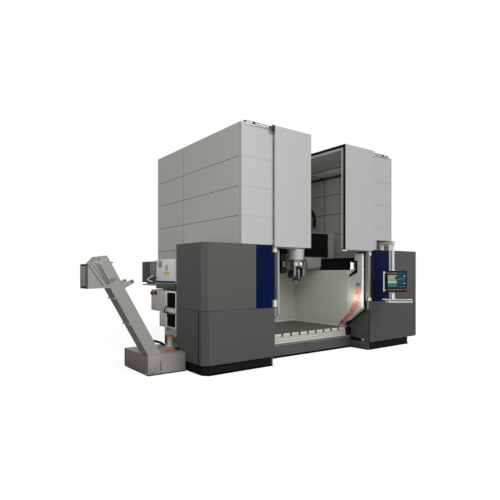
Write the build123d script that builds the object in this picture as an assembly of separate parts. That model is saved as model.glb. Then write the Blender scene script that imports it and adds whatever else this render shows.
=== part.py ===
from build123d import *
import math
import os

os.makedirs("parts", exist_ok=True)

# All lengths are in millimetres. X runs to the right along the front, Y to the back, Z up.
# The origin is on the floor, at the centre of the enclosure's plan.

# Base and enclosure
base_rear_width = 3700
wall_overhang = 135
enclosure_width = base_rear_width + 2 * wall_overhang
enclosure_depth = 3040
enclosure_height = 4020
panel_thickness = 40
first_seam_drop = 545
seam_pitch = 480
seam_width = 8
seam_depth = 4
side_seam_depth_from_front = 1911
crane_slot_width = 1080
crane_slot_length = 1820
ceiling_liner_width = 669

# Consoles
console_height = 2060
console_depth = 890
console_split = 1000
console_seam = 6
left_console_width = 1397
right_console_width = 1710
cover_sheet = 12
corner_chamfer = 80
plinth_height = 166
plinth_inset = 40
bottom_flange = 75
right_plinth_width = 1440
plinth_sheet = 30

# Doors over the crane slot
roof_door_width = 840
roof_door_thickness = 36
roof_door_top_thickness = 20
roof_door_top_rise = 50
roof_door_standoff = 20
roof_door_bottom = console_height - 30
roof_door_length = 1900
roof_door_opening = 928
roof_door_travel = 455
roof_rail_height = 10
roof_rail_width = 40
runner_length = 100
runner_lip = 20
door_lip = 14
door_cylinder_length = 544
door_cylinder_section = 44
cylinder_rod_radius = 8
bracket_length = 46

# Front doors and the doorway between the consoles
doorway_width = 2534
front_door_gap = 2408
front_door_width = 1301
front_door_thickness = 40
front_door_top = console_height - 50
front_door_knee = console_split - 150
front_door_travel = 1198
front_door_inset = 42
skirt_foot_inset = 541
skirt_foot_height = 475
door_post_width = 44
window_bottom = console_split + 60
window_top = console_height - 100
window_length = 1050
pane_thickness = 10
header_half = 30
tongue_width = 12
tongue_height = 22

# Blue panels, brackets and the pendant's recess
left_blue_width = 400
right_blue_width = 603
right_blue_inset = 36
blue_crown = 15
blue_top_gap = 12
blue_notch_width = 66
bracket_clearance = 8
low_bracket = (console_split + 10, console_split + 122)
high_bracket = (console_height - 124, console_height - 30)
bracket_overlap = 30
bracket_reach = 43
recess_height = 200
recess_width = 504

# Base, table and shoulders
foot_height = 40
foot_length = 180
foot_width = 130
foot_inset = 150
base_top = 255
base_rear_start = 640
front_setback = 500
base_front_groove = 8
table_height = 440
cell_width = 2210
cell_depth = 2080
liner_sheet = 12
slot_count = 9
slot_pitch = 220
slot_neck_width = 28
slot_neck_depth = 34
slot_head_width = 50
slot_head_depth = 22
shoulder_top = 1640
shoulder_nose_inset = 320
shelf_height = 1370
shelf_thickness = 30
side_shelf_reach = 710
pocket_count = 3
pocket_depth = 60
rear_wall_thickness = 320

# Gantry
rail_width = 40
rail_height = 40
inner_rail_offset = 130
outer_rail_offset = 580
beam_front_inset = 1270
beam_thickness = 540
beam_bottom = 1660
beam_top = 2480
beam_wing_bottom = 1910
beam_wing_inset = 255
beam_cover_proud = 70
beam_cover_top = 1925
truck_inset = 30
bellows_height = 240
bellows_pitch = 46
bellows_fold = 14
bellows_flange = 12
y_bellows_start_inset = 400
x_rail_low = 2010
x_rail_high = 2390
x_rail_proud = 30
x_bellows_reach = 1316
x_bellows_bottom = 1935
x_bellows_top = 2460
running_gap = 0.3

# Saddle, ram and head
saddle_centre = 106
saddle_width = 860
saddle_bottom = 2120
saddle_top = 2560
saddle_plate = 40
ram_centre_inset = 950
ram_side = 260
ram_corner = 40
ram_bottom = 1830
ram_foot_radius = 150
ram_foot_height = 220
ram_top = 3500
ram_gap = 0.5
saddle_wall = 60
head_collar_radius = 148
head_collar_height = 30
fork_top_height = 80
fork_width = 300
fork_depth = 190
fork_gap = 190
tilt_axis_height = 1560
trunnion_radius = 45
bore_gap = 0.05
spindle_radius = 84
spindle_top_reach = 135
spindle_bottom_reach = 140
nose_radius = 50
tool_tip_height = 1346
accumulator_width = 130
accumulator_depth = 100
accumulator_bottom = 1575
accumulator_inset = 95

# Pendant
pendant_pivot = (1756, -1440)
pendant_hang = (1551, -1870)
pendant_turn = -36.87
pendant_arm_height = console_height + 110
arm_tube = 50
post_radius = 42
hang_tube_radius = 25
panel_width = 410
panel_height = 430
panel_depth = 95
panel_bottom = 1194
panel_offset = 62
screen_width = 376
screen_height = 301
screen_thickness = 6
tray_width = 470
tray_depth = 250
tray_thickness = 52
tray_top = 1052
button_radius = 20
button_stem_radius = 11
button_reach = 26

# Work lamps
lamp_radius = 22
lamp_height = 175

# Coiled hose, hook and gun
hose_outer_radius = 38
hook_height = 1335
nipple_radius = 16
gun_grip_length = 74
barrel_radius = 7
gun_radius = 13

# Chip conveyor
tank_length = 640
tank_front_inset = 580
tank_depth = 960
tank_height = 310
tank_foot = 20
tank_tail_gap = 24
trunk_front_inset = 600
trunk_width = 290
trunk_sheet = 8
chute_length = 1561
chute_bottom = 1361
chute_top = 1714
head_top = 1840
hood_start = -1482
hood_end = -1390
drum_radius = 72
belt_thickness = 10
shaft_radius = 15
trunk_foot = (-642, 338)
trunk_foot_rear = -410
trunk_knee = (-1217, 1367)
drum_height = 1616
tail_height = 324
drive_cover_size = (100, 277, 32)
drive_cover_centre = (-1276, 1628)
ear_thickness = 12

# Boxes on the left flank
flank_face_inset = 100
supply_box = (1100, 1900, 1370, 1830)
filter_box = (1900, 2530, 1370, 1800)
middle_box = (900, 2110, 880, 1270)
lower_box = (900, 1755, 610, 872)
grille_length = 295
grille_inset = 214
slat_count = 7
cabinet_neck_inset = 200
knob_radius = 32

# Places that follow from the sizes above
front = -enclosure_depth / 2
back = enclosure_depth / 2
wall_outer = enclosure_width / 2
wall_inner = wall_outer - panel_thickness
roof_under = enclosure_height - panel_thickness
doorway = doorway_width / 2
left_end = -doorway - left_console_width
right_end = doorway + right_console_width
console_back = front + console_depth
cell_side = cell_width / 2
shoulder_inner = cell_side + liner_sheet
shoulder_outer = base_rear_width / 2
base_front = front + front_setback
base_shoulder_front = front + base_rear_start
base_back = back - panel_thickness
cell_back = front + cell_depth
beam_front = front + beam_front_inset
beam_back = beam_front + beam_thickness
ram_y = front + ram_centre_inset
tray_bottom = tray_top - tray_thickness


def block(x, y, z):
    """A rectangular block between two limits along each axis."""
    centre = Pos((x[0] + x[1]) / 2, (y[0] + y[1]) / 2, (z[0] + z[1]) / 2)
    return centre * Box(abs(x[1] - x[0]), abs(y[1] - y[0]), abs(z[1] - z[0]))


def push(outline, axis, start, end):
    """A flat outline in the two other coordinates, pushed along one axis from start to end."""
    low, high = min(start, end), max(start, end)
    frames = {
        "X": Plane(origin=(low, 0, 0), x_dir=(0, 1, 0), z_dir=(1, 0, 0)),
        "Y": Plane(origin=(0, low, 0), x_dir=(1, 0, 0), z_dir=(0, -1, 0)),
        "Z": Plane(origin=(0, 0, low), x_dir=(1, 0, 0), z_dir=(0, 0, 1)),
    }
    directions = {"X": (1, 0, 0), "Y": (0, 1, 0), "Z": (0, 0, 1)}
    face = frames[axis] * Polygon(*outline, align=None)
    return extrude(face, amount=high - low, dir=directions[axis])


def rod(centre, radius, axis, start, end):
    """A round bar along one axis, centred on its two other coordinates."""
    low, high = min(start, end), max(start, end)
    a, b = centre
    places = {
        "X": Pos((low + high) / 2, a, b) * Rot(0, 90, 0),
        "Y": Pos(a, (low + high) / 2, b) * Rot(90, 0, 0),
        "Z": Pos(a, b, (low + high) / 2),
    }
    return places[axis] * Cylinder(radius, high - low)


def band(path, thickness):
    """The outline of a folded sheet whose outer face follows path, with its thickness to the left."""
    inner = []
    for index, (px, py) in enumerate(path):
        sides = []
        if index > 0:
            sides.append((px - path[index - 1][0], py - path[index - 1][1]))
        if index < len(path) - 1:
            sides.append((path[index + 1][0] - px, path[index + 1][1] - py))
        normals = [(-dy / math.hypot(dx, dy), dx / math.hypot(dx, dy)) for dx, dy in sides]
        nx = sum(n[0] for n in normals)
        ny = sum(n[1] for n in normals)
        reach = thickness * len(normals) / (nx * nx + ny * ny)
        inner.append((px + nx * reach, py + ny * reach))
    return list(path) + inner[::-1]


def both_sides(solid):
    """A solid and its mirror image across the centre line."""
    return Compound([solid, mirror(solid, about=Plane.YZ)])


def merged(solid):
    """The one solid inside a result that may be wrapped in a group."""
    return solid.solids()[0]


def seam_heights(bottom):
    """Heights of the horizontal joints between enclosure panels, from the top down."""
    heights = []
    height = enclosure_height - first_seam_drop
    while height > bottom + seam_pitch / 4:
        heights.append(height)
        height -= seam_pitch
    return heights


def levelling_feet():
    """Wedge mounts on the floor under the base."""
    side = shoulder_outer - foot_inset
    rows = (base_shoulder_front + foot_inset, 0, base_back - foot_inset)
    half = (foot_length / 2, foot_width / 2)
    feet = []
    for x in (-side, 0, side):
        for y in rows:
            feet.append(block((x - half[0], x + half[0]), (y - half[1], y + half[1]), (0, foot_height)))
    return Compound(feet)


def base_frame():
    """Welded base: a T-shaped slab with the cross wall that ties the shoulders at the back."""
    slab = block((-doorway, doorway), (base_front, base_shoulder_front), (foot_height, base_top))
    slab += block((-shoulder_outer, shoulder_outer), (base_shoulder_front, base_back), (foot_height, base_top))
    wall_front = cell_back + liner_sheet
    slab += block(
        (-shoulder_inner, shoulder_inner),
        (wall_front, wall_front + rear_wall_thickness),
        (base_top, shoulder_top - foot_height),
    )
    groove_top = base_top - 3 * base_front_groove
    slab -= block(
        (-doorway, doorway),
        (base_front, base_front + base_front_groove),
        (groove_top - base_front_groove, groove_top),
    )
    return merged(slab)


def work_table():
    """Table plate with T-slots from front to back."""
    plate = block((-cell_side, cell_side), (base_front, cell_back), (base_top, table_height))
    neck_bottom = table_height - slot_neck_depth
    ends = (base_front - 1, cell_back + 1)
    for index in range(slot_count):
        x = (index - (slot_count - 1) / 2) * slot_pitch
        neck = slot_neck_width / 2
        head = slot_head_width / 2
        plate -= block((x - neck, x + neck), ends, (neck_bottom - 1, table_height + 1))
        plate -= block((x - head, x + head), ends, (neck_bottom - slot_head_depth, neck_bottom))
    return merged(plate)


def shoulder(side, shelf_reach=0):
    """Side casting that carries the gantry: a leaning nose, rails on top and a shelf for the wall."""
    nose = base_shoulder_front - 20
    tip = front + shoulder_nose_inset
    outline = [
        (nose, base_top),
        (nose, table_height + 40),
        (tip + 20, console_split),
        (tip, shoulder_top),
        (base_back, shoulder_top),
        (base_back, base_top),
    ]
    body = push(outline, "X", shoulder_inner, shoulder_outer)
    body += block((shoulder_inner, doorway), (base_front, nose), (base_top, table_height - 10))
    shelf_level = (shelf_height - shelf_thickness, shelf_height)
    body += block((shoulder_outer, wall_outer), (console_back, back), shelf_level)
    if shelf_reach:
        run = (front + supply_box[0], front + filter_box[1])
        body += block((shoulder_outer, shoulder_outer + shelf_reach), run, shelf_level)
    for offset in (inner_rail_offset, outer_rail_offset):
        x = shoulder_inner + offset
        rail_top = shoulder_top + rail_height
        body += block((x - rail_width / 2, x + rail_width / 2), (tip + 40, base_back - 40), (shoulder_top, rail_top))
    bay = (base_back - base_shoulder_front) / pocket_count
    for index in range(pocket_count):
        start = base_shoulder_front + index * bay + bay / 8
        body -= block(
            (shoulder_outer - pocket_depth, shoulder_outer + 1),
            (start, start + bay * 3 / 4),
            (base_top + bay / 8, shelf_height - bay / 4),
        )
    body = merged(body)
    return body if side > 0 else mirror(body, about=Plane.YZ)


def left_shoulder():
    return shoulder(-1, side_shelf_reach)


def right_shoulder():
    return shoulder(1)


def skirt_path():
    """Middle of the front door's section: down from its top, then sloping in over the sill."""
    return [
        (front + front_door_inset, front_door_top),
        (front + front_door_inset, front_door_knee),
        (front + skirt_foot_inset, skirt_foot_height),
    ]


def skirt_offset(distance):
    """The two corners of the door's sloping part, moved away from its middle towards the cell."""
    top, knee, foot = skirt_path()
    run, drop = foot[0] - knee[0], knee[1] - foot[1]
    length = math.hypot(run, drop)
    lean = (drop / length, run / length)
    rise = distance * (1 - lean[0]) / lean[1]
    knee_out = (knee[0] + distance, knee[1] + rise)
    foot_out = (foot[0] + lean[0] * distance, foot[1] + lean[1] * distance)
    return knee_out, foot_out


def cell_liner():
    """Sheet walls of the work cell: two sides, whose front edge follows the door, and the back."""
    clear = front_door_thickness / 2 + 12
    knee, foot = skirt_offset(clear)
    tip = front + shoulder_nose_inset
    outline = [
        (base_front + 120, base_top),
        (base_front + 120, foot[1]),
        foot,
        knee,
        (knee[0], front_door_top - 30),
        (tip - 60, front_door_top - 30),
        (tip - 60, shoulder_top),
        (cell_back, shoulder_top),
        (cell_back, base_top),
    ]
    side = push(outline, "X", cell_side, shoulder_inner)
    rear = block(
        (-shoulder_inner, shoulder_inner),
        (cell_back, cell_back + liner_sheet),
        (base_top, shoulder_top - foot_height),
    )
    return Compound([side, mirror(side, about=Plane.YZ), rear])


def side_wall():
    """Panelled side of the enclosure, standing on the console in front and the shelf behind."""
    start = front + panel_thickness
    outline = [
        (start, console_height),
        (console_back, console_height),
        (console_back, shelf_height),
        (back, shelf_height),
        (back, roof_under),
        (start, roof_under),
    ]
    wall = push(outline, "X", wall_inner, wall_outer)
    skin = (wall_outer - seam_depth, wall_outer + 1)
    for height in seam_heights(shelf_height):
        wall -= block(skin, (front - 1, back + 1), (height - seam_width / 2, height + seam_width / 2))
    seam = front + side_seam_depth_from_front
    wall -= block(skin, (seam - seam_width / 2, seam + seam_width / 2), (shelf_height - 1, roof_under + 1))
    return merged(wall)


def right_side_wall():
    return side_wall()


def left_side_wall():
    return mirror(side_wall(), about=Plane.YZ)


def back_wall():
    """Panelled rear of the enclosure."""
    wall = block((-wall_inner, wall_inner), (back - panel_thickness, back), (shelf_height, roof_under))
    for height in seam_heights(shelf_height):
        wall -= block(
            (-wall_outer, wall_outer),
            (back - seam_depth, back + 1),
            (height - seam_width / 2, height + seam_width / 2),
        )
    return merged(wall)


def fixed_roof():
    """Roof plate with the crane slot, its stiffening rim, and the rails of the roof doors."""
    slot = crane_slot_width / 2
    slot_end = front + crane_slot_length
    roof = block((-wall_outer, wall_outer), (front, back), (roof_under, enclosure_height))
    roof -= block((-slot, slot), (front - 1, slot_end), (roof_under - 1, enclosure_height + 1))
    roof += block((-wall_inner, wall_inner), (slot_end + 40, slot_end + 100), (roof_under - 60, roof_under))
    for side in (-1, 1):
        roof += block(
            (side * (wall_inner - ceiling_liner_width), side * wall_inner),
            (front + panel_thickness, back - panel_thickness),
            (roof_under - panel_thickness, roof_under),
        )
    rail_y = front + roof_door_length - 60
    for side in (-1, 1):
        roof += block(
            (side * (slot + 20), side * (slot + 780)),
            (rail_y - roof_rail_width / 2, rail_y + roof_rail_width / 2),
            (enclosure_height, enclosure_height + roof_rail_height),
        )
    return merged(roof)


def front_panel(bottom_recess):
    """Fixed panel beside the crane slot, with door rails in front and the header of the front door."""
    slot = crane_slot_width / 2
    panel = block((slot, wall_outer), (front, front + panel_thickness), (console_height, roof_under))
    for height in seam_heights(console_height):
        panel -= block(
            (slot + roof_door_width / 2, wall_outer + 1),
            (front - 1, front + seam_depth),
            (height - seam_width / 2, height + seam_width / 2),
        )
    if bottom_recess:
        panel -= block(
            (wall_outer - recess_width, wall_outer + 1),
            (front - 1, front + panel_thickness + 1),
            (console_height - 1, console_height + recess_height),
        )
    for height in (roof_door_bottom + 90, roof_under - 90):
        panel += block(
            (slot + 20, slot + 780),
            (front - roof_rail_height, front),
            (height - roof_rail_width / 2, height + roof_rail_width / 2),
        )
    middle = front + front_door_inset
    header_bottom = front_door_top + 4
    panel += block(
        (slot, wall_inner),
        (middle - header_half, middle + header_half),
        (header_bottom, console_height),
    )
    groove = tongue_width / 2 + running_gap
    panel -= block(
        (slot - 1, wall_inner + 1),
        (middle - groove, middle + groove),
        (header_bottom - 1, front_door_top + tongue_height + running_gap),
    )
    return merged(panel)


def front_panels():
    """Fixed panels to the left and the right of the crane slot."""
    return Compound([mirror(front_panel(False), about=Plane.YZ), front_panel(True)])


def roof_door():
    """L-shaped door over half of the crane slot: a tall front leaf folded back over the roof."""
    leading = roof_door_opening / 2
    trailing = leading + roof_door_width
    face = front - roof_door_standoff - roof_door_thickness
    inner = front - roof_door_standoff
    top = enclosure_height + roof_door_top_rise
    under = top - roof_door_top_thickness
    rear = front + roof_door_length
    outline = [
        (face, roof_door_bottom),
        (face, top),
        (rear, top),
        (rear, under),
        (inner, under),
        (inner, roof_door_bottom),
    ]
    door = push(outline, "X", leading, trailing)
    door += block((leading, leading + cover_sheet), (inner, inner + door_lip), (roof_door_bottom, under))
    door += block((leading, leading + cover_sheet), (inner, rear), (under - door_lip, under))
    runner = (trailing - runner_length - 14, trailing - 14)
    half = roof_rail_width / 2
    for height in (roof_door_bottom + 90, roof_under - 90):
        shoe = block(runner, (inner, front - running_gap), (height - half - runner_lip, height + half + runner_lip))
        shoe -= block(
            (runner[0] - 1, runner[1] + 1),
            (front - roof_rail_height - running_gap, front),
            (height - half - running_gap, height + half + running_gap),
        )
        door += shoe
    rail_y = front + roof_door_length - 60
    shoe = block(
        runner,
        (rail_y - half - runner_lip, rail_y + half + runner_lip),
        (enclosure_height + running_gap, under),
    )
    shoe -= block(
        (runner[0] - 1, runner[1] + 1),
        (rail_y - half - running_gap, rail_y + half + running_gap),
        (enclosure_height, enclosure_height + roof_rail_height + running_gap),
    )
    door += shoe
    axis_y, axis_z = cylinder_axis()
    ear = bracket_length + trailing
    door += block((trailing, ear), (face, inner - 4), (roof_under - 25, under))
    door += block((trailing, ear), (face, axis_y + door_cylinder_section / 2), (enclosure_height + 2, top - 6))
    door += rod((axis_y, axis_z), cylinder_rod_radius, "X", ear, ear + door_cylinder_length - 34)
    return merged(door)


def cylinder_axis():
    """Height and depth of the door cylinders, which lie on the front edge of the roof."""
    return front + 30, enclosure_height + door_cylinder_section / 2


def right_roof_door():
    return roof_door()


def left_roof_door():
    return mirror(roof_door(), about=Plane.YZ)


def door_cylinders():
    """Pneumatic cylinders that push the roof doors, with square bodies and end caps."""
    axis_y, axis_z = cylinder_axis()
    start = roof_door_opening / 2 + roof_door_width + bracket_length
    half = door_cylinder_section / 2
    barrel = block(
        (start, start + door_cylinder_length),
        (axis_y - half, axis_y + half),
        (axis_z - half, axis_z + half),
    )
    cap = 4
    for end in (start + 260, start + 320):
        barrel -= block((end, end + 40), (axis_y - half - 1, axis_y - half + cap), (axis_z - half, axis_z + half + 1))
    barrel -= rod(
        (axis_y, axis_z), cylinder_rod_radius + bore_gap, "X", start - 1, start + door_cylinder_length - 20
    )
    return both_sides(merged(barrel))


def front_door_section(thickness):
    """Section of the front door in depth and height, at a given thickness."""
    half = thickness / 2
    path = skirt_path()
    inner_knee, inner_foot = skirt_offset(half)
    outer_knee, outer_foot = skirt_offset(-half)
    return [
        (path[0][0] - half, path[0][1]),
        outer_knee,
        outer_foot,
        inner_foot,
        inner_knee,
        (path[0][0] + half, path[0][1]),
    ]


def front_door():
    """Sliding front door: an upright frame for the window and a skirt that slopes in to the sill."""
    leading = front_door_gap / 2
    trailing = leading + front_door_width
    door = push(front_door_section(front_door_thickness), "X", leading, trailing)
    middle = front + front_door_inset
    door += block(
        (leading + 4, trailing),
        (middle - tongue_width / 2, middle + tongue_width / 2),
        (front_door_top, front_door_top + tongue_height),
    )
    door -= window_opening(front_door_thickness + 2)
    return merged(door)


def window_opening(thickness):
    """The window of a front door, as a block of a given thickness."""
    start = front_door_gap / 2 + door_post_width
    middle = front + front_door_inset
    return block(
        (start, start + window_length),
        (middle - thickness / 2, middle + thickness / 2),
        (window_bottom, window_top),
    )


def right_front_door():
    return front_door()


def left_front_door():
    return mirror(front_door(), about=Plane.YZ)


def right_door_window():
    return window_opening(pane_thickness)


def left_door_window():
    return mirror(window_opening(pane_thickness), about=Plane.YZ)


def console_outline(side, thickness=cover_sheet):
    """Plan of a console's folded cover, from the doorway round to the back."""
    end = left_console_width if side < 0 else right_console_width
    outer = doorway + end
    path = [
        (doorway, front),
        (outer - corner_chamfer, front),
        (outer, front + corner_chamfer),
        (outer, console_back),
        (wall_outer, console_back),
    ]
    return band(path, thickness)


def placed(solid, side):
    """A solid drawn for the right side, mirrored when it belongs on the left."""
    return solid if side > 0 else mirror(solid, about=Plane.YZ)


def console_lower(side):
    """Lower cover of a console: folded in at the bottom, with a strip behind that meets the shoulder."""
    cover = push(console_outline(side), "Z", plinth_height, console_split - console_seam / 2)
    cover += push(console_outline(side, bottom_flange), "Z", plinth_height, plinth_height + cover_sheet)
    cover += block(
        (shoulder_outer, wall_outer),
        (console_back - cover_sheet, console_back),
        (plinth_height, console_split - console_seam / 2),
    )
    cover -= block(
        (shoulder_outer - 1, shoulder_outer + cover_sheet),
        (console_back - cover_sheet - 1, console_back + 1),
        (plinth_height - 1, base_top),
    )
    return cover


def left_console_lower():
    cover = console_lower(-1)
    outer = doorway + left_console_width
    cover -= block(
        (outer - corner_chamfer - seam_width, outer - corner_chamfer),
        (front - 1, front + seam_depth),
        (plinth_height - 1, console_split),
    )
    return placed(merged(cover), -1)


def right_console_lower():
    return merged(console_lower(1))


def console_upper(side):
    """Upper cover of a console: folded walls, a top plate outside the enclosure and a back strip."""
    bottom = console_split + console_seam / 2
    cover = push(console_outline(side), "Z", bottom, console_height)
    end = left_console_width if side < 0 else right_console_width
    outer = doorway + end
    top = [
        (wall_inner, front + cover_sheet),
        (outer - corner_chamfer, front + cover_sheet),
        (outer - cover_sheet, front + corner_chamfer),
        (outer - cover_sheet, console_back - cover_sheet),
        (wall_inner, console_back - cover_sheet),
    ]
    cover += push(top, "Z", console_height - cover_sheet, console_height)
    cover += block(
        (shoulder_outer, wall_outer),
        (console_back - cover_sheet, console_back),
        (bottom, shelf_height - shelf_thickness),
    )
    return cover


def left_console_upper():
    return placed(merged(console_upper(-1)), -1)


def right_console_upper():
    cover = console_upper(1)
    cover -= cabinet_opening(0)
    x, y = hinge_centre()
    for start, end in hinge_spans():
        cover += block((x - 14, right_end), (y - 14, y + 14), (start, end))
        cover -= rod((x, y), hinge_radius + bore_gap, "Z", start - 1, end + 1)
    return merged(cover)


cabinet_door_height = (console_split + 80, console_height - 80)
cabinet_door_depth = (140, 770)
cabinet_door_gap = 6
cabinet_door_thickness = 20
hinge_radius = 6


def cabinet_opening(margin):
    """Opening in the right console's side, or the door leaf when it is drawn with a margin."""
    return block(
        (right_end - cabinet_door_thickness, right_end + (0 if margin else 1)),
        (front + cabinet_door_depth[0] + margin, front + cabinet_door_depth[1] - margin),
        (cabinet_door_height[0] + margin, cabinet_door_height[1] - margin),
    )


def hinge_centre():
    """The cabinet door's hinge line, near its back edge."""
    return right_end - cabinet_door_thickness / 2, front + cabinet_door_depth[1] - 2 * cabinet_door_gap - 4


def hinge_spans():
    """Heights of the lugs below and above the opening that hold the hinge pins."""
    low, high = cabinet_door_height
    return (low - 20, low), (high, high + 20)


def cabinet_door():
    """Side door of the right console, with its hinge pins and a bar handle."""
    x, y = hinge_centre()
    leaf = cabinet_opening(cabinet_door_gap)
    low = cabinet_door_height[0] - 18
    high = cabinet_door_height[1] + 18
    leaf += rod((x, y), hinge_radius, "Z", low, cabinet_door_height[0] + 2 * cabinet_door_gap)
    leaf += rod((x, y), hinge_radius, "Z", cabinet_door_height[1] - 2 * cabinet_door_gap, high)
    grip_y = front + cabinet_door_depth[0] + 50
    for height in (1120, 1240):
        leaf += rod((grip_y, height), 6, "X", right_end - 2, right_end + 40)
    leaf += rod((right_end + 34, grip_y), 8, "Z", 1105, 1255)
    return merged(leaf)


def blue_panel(width, inset):
    """Crowned glossy panel on a console's front, with a notch for the bracket at its top corner."""
    start = doorway + inset
    end = start + width
    chord = Line((start, front), (end, front))
    crown = ThreePointArc((end, front), ((start + end) / 2, front - blue_crown), (start, front))
    face = make_face(Curve() + [chord, crown])
    height = console_height - blue_top_gap - console_split
    panel = extrude(Pos(0, 0, console_split) * face, amount=height, dir=(0, 0, 1))
    for low, high in (
        (console_split - 1, low_bracket[1] + bracket_clearance),
        (high_bracket[0] - bracket_clearance, console_height),
    ):
        panel -= block((doorway - 1, doorway + blue_notch_width), (front - 2 * blue_crown, front + 1), (low, high))
    return merged(panel)


def blue_panels():
    left = mirror(blue_panel(left_blue_width, 0), about=Plane.YZ)
    return Compound([left, blue_panel(right_blue_width, right_blue_inset)])


def plinths():
    """Black kick plates under the consoles, set back from their covers."""
    plates = []
    for side, length in ((-1, left_console_width - plinth_inset), (1, right_plinth_width)):
        inner = doorway + plinth_inset
        outer = doorway + length
        path = [
            (inner, base_front - plinth_inset),
            (inner, front + plinth_inset),
            (outer - corner_chamfer, front + plinth_inset),
            (outer, front + plinth_inset + corner_chamfer),
            (outer, console_back - plinth_inset),
            (shoulder_outer + plinth_inset, console_back - plinth_inset),
        ]
        plates.append(placed(push(band(path, plinth_sheet), "Z", 0, plinth_height), side))
    return Compound(plates)


def aprons():
    """Inner side plates of the consoles, under the sloping door skirt."""
    clear = front_door_thickness / 2 + 6
    knee, foot = skirt_offset(-clear)
    nose = base_shoulder_front - 20
    outline = [
        (front + cover_sheet, plinth_height + cover_sheet),
        (front + cover_sheet, knee[1]),
        knee,
        foot,
        (nose, skirt_foot_height - 75),
        (nose, base_top),
        (base_front, base_top),
        (base_front, plinth_height + cover_sheet),
    ]
    return both_sides(push(outline, "X", doorway, doorway + cover_sheet))


def door_brackets():
    """White guide brackets at the doorway's edges, two on each console."""
    brackets = []
    tip = doorway - bracket_reach
    for heights in (low_bracket, high_bracket):
        plate = block((tip, doorway + bracket_overlap), (front - cover_sheet, front), heights)
        plate += block((tip, tip + cover_sheet), (front, front + 10), heights)
        brackets += [merged(plate), mirror(merged(plate), about=Plane.YZ)]
    return Compound(brackets)


def pleated(low, high, start, end, axis, folds):
    """Bellows between two places: a section that swells and shrinks along its length."""
    sections = []
    count = 2 * max(2, round((end - start) / bellows_pitch))
    for index in range(count + 1):
        place = start + (end - start) * index / count
        shrink = bellows_fold if index % 2 else 0
        corner = [
            (low[0] + shrink * folds[0], low[1] + shrink * folds[1]),
            (high[0] - shrink * folds[2], high[1] - shrink * folds[3]),
        ]
        width, height = corner[1][0] - corner[0][0], corner[1][1] - corner[0][1]
        centre = ((corner[0][0] + corner[1][0]) / 2, (corner[0][1] + corner[1][1]) / 2)
        if axis == "X":
            frame = Plane(origin=(place, centre[0], centre[1]), x_dir=(0, 1, 0), z_dir=(1, 0, 0))
        else:
            frame = Plane(origin=(centre[0], place, centre[1]), x_dir=(1, 0, 0), z_dir=(0, -1, 0))
        sections.append(frame * Rectangle(width, height))
    return loft(sections, ruled=True)


def y_bellows(start, end):
    """Pleated cover over a shoulder's two rails, from start to end along the depth."""
    low = (shoulder_inner + 1, shoulder_top + running_gap)
    high = (shoulder_outer - 60, shoulder_top + rail_height / 2 + bellows_height)
    cover = pleated(low, high, start, end, "Y", (1, 0, 1, 1))
    for offset in (inner_rail_offset, outer_rail_offset):
        x = shoulder_inner + offset
        gap = rail_width / 2 + 10
        cover -= block((x - gap, x + gap), (start - 1, end + 1), (shoulder_top, shoulder_top + rail_height + 10))
    return both_sides(merged(cover))


def y_bellows_front():
    return y_bellows(front + y_bellows_start_inset, beam_front - running_gap)


def y_bellows_rear():
    return y_bellows(beam_back + running_gap, base_back - 60)


def crossbeam():
    """Gantry beam: a box girder with wings over the shoulders, end trucks and two X rails."""
    girder = cell_side - 15
    wing = shoulder_outer - beam_wing_inset
    cover_front = beam_front - beam_cover_proud
    outline = [
        (cover_front + 50, beam_bottom),
        (cover_front, beam_bottom + 60),
        (cover_front, beam_cover_top),
        (beam_front, beam_cover_top),
        (beam_front, beam_top),
        (beam_back, beam_top),
        (beam_back, beam_bottom),
    ]
    beam = push(outline, "X", -girder, girder)
    beam += block((-wing, wing), (beam_front, beam_back), (beam_wing_bottom, beam_top))
    for side in (-1, 1):
        truck = block(
            (side * (shoulder_inner + truck_inset), side * (shoulder_outer - truck_inset)),
            (beam_front, beam_back),
            (shoulder_top + rail_height / 2, beam_wing_bottom),
        )
        for offset in (inner_rail_offset, outer_rail_offset):
            x = side * (shoulder_inner + offset)
            half = rail_width / 2 + running_gap
            truck -= block(
                (x - half, x + half),
                (beam_front - 1, beam_back + 1),
                (shoulder_top, shoulder_top + rail_height + running_gap),
            )
        beam += truck
    for height in (x_rail_low, x_rail_high):
        beam += block(
            (-x_bellows_reach, x_bellows_reach),
            (beam_front - x_rail_proud, beam_front),
            (height - rail_width / 2, height + rail_width / 2),
        )
    return merged(beam)


def x_bellows(start, end, fixed):
    """Pleated cover in front of the beam's X rails, with a flange at its fixed end."""
    cover_front = beam_front - beam_cover_proud
    low = (cover_front, x_bellows_bottom)
    high = (beam_front - x_rail_proud - 10, x_bellows_top)
    cover = pleated(low, high, start, end, "X", (1, 1, 0, 1))
    flange = (fixed, fixed + math.copysign(bellows_flange, fixed))
    cover += block(flange, (cover_front, beam_front), (x_bellows_bottom, x_bellows_top))
    return merged(cover)


def x_bellows_left():
    return x_bellows(-x_bellows_reach, saddle_centre - saddle_width / 2 - running_gap, -x_bellows_reach)


def x_bellows_right():
    return x_bellows(saddle_centre + saddle_width / 2 + running_gap, x_bellows_reach, x_bellows_reach)


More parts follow.
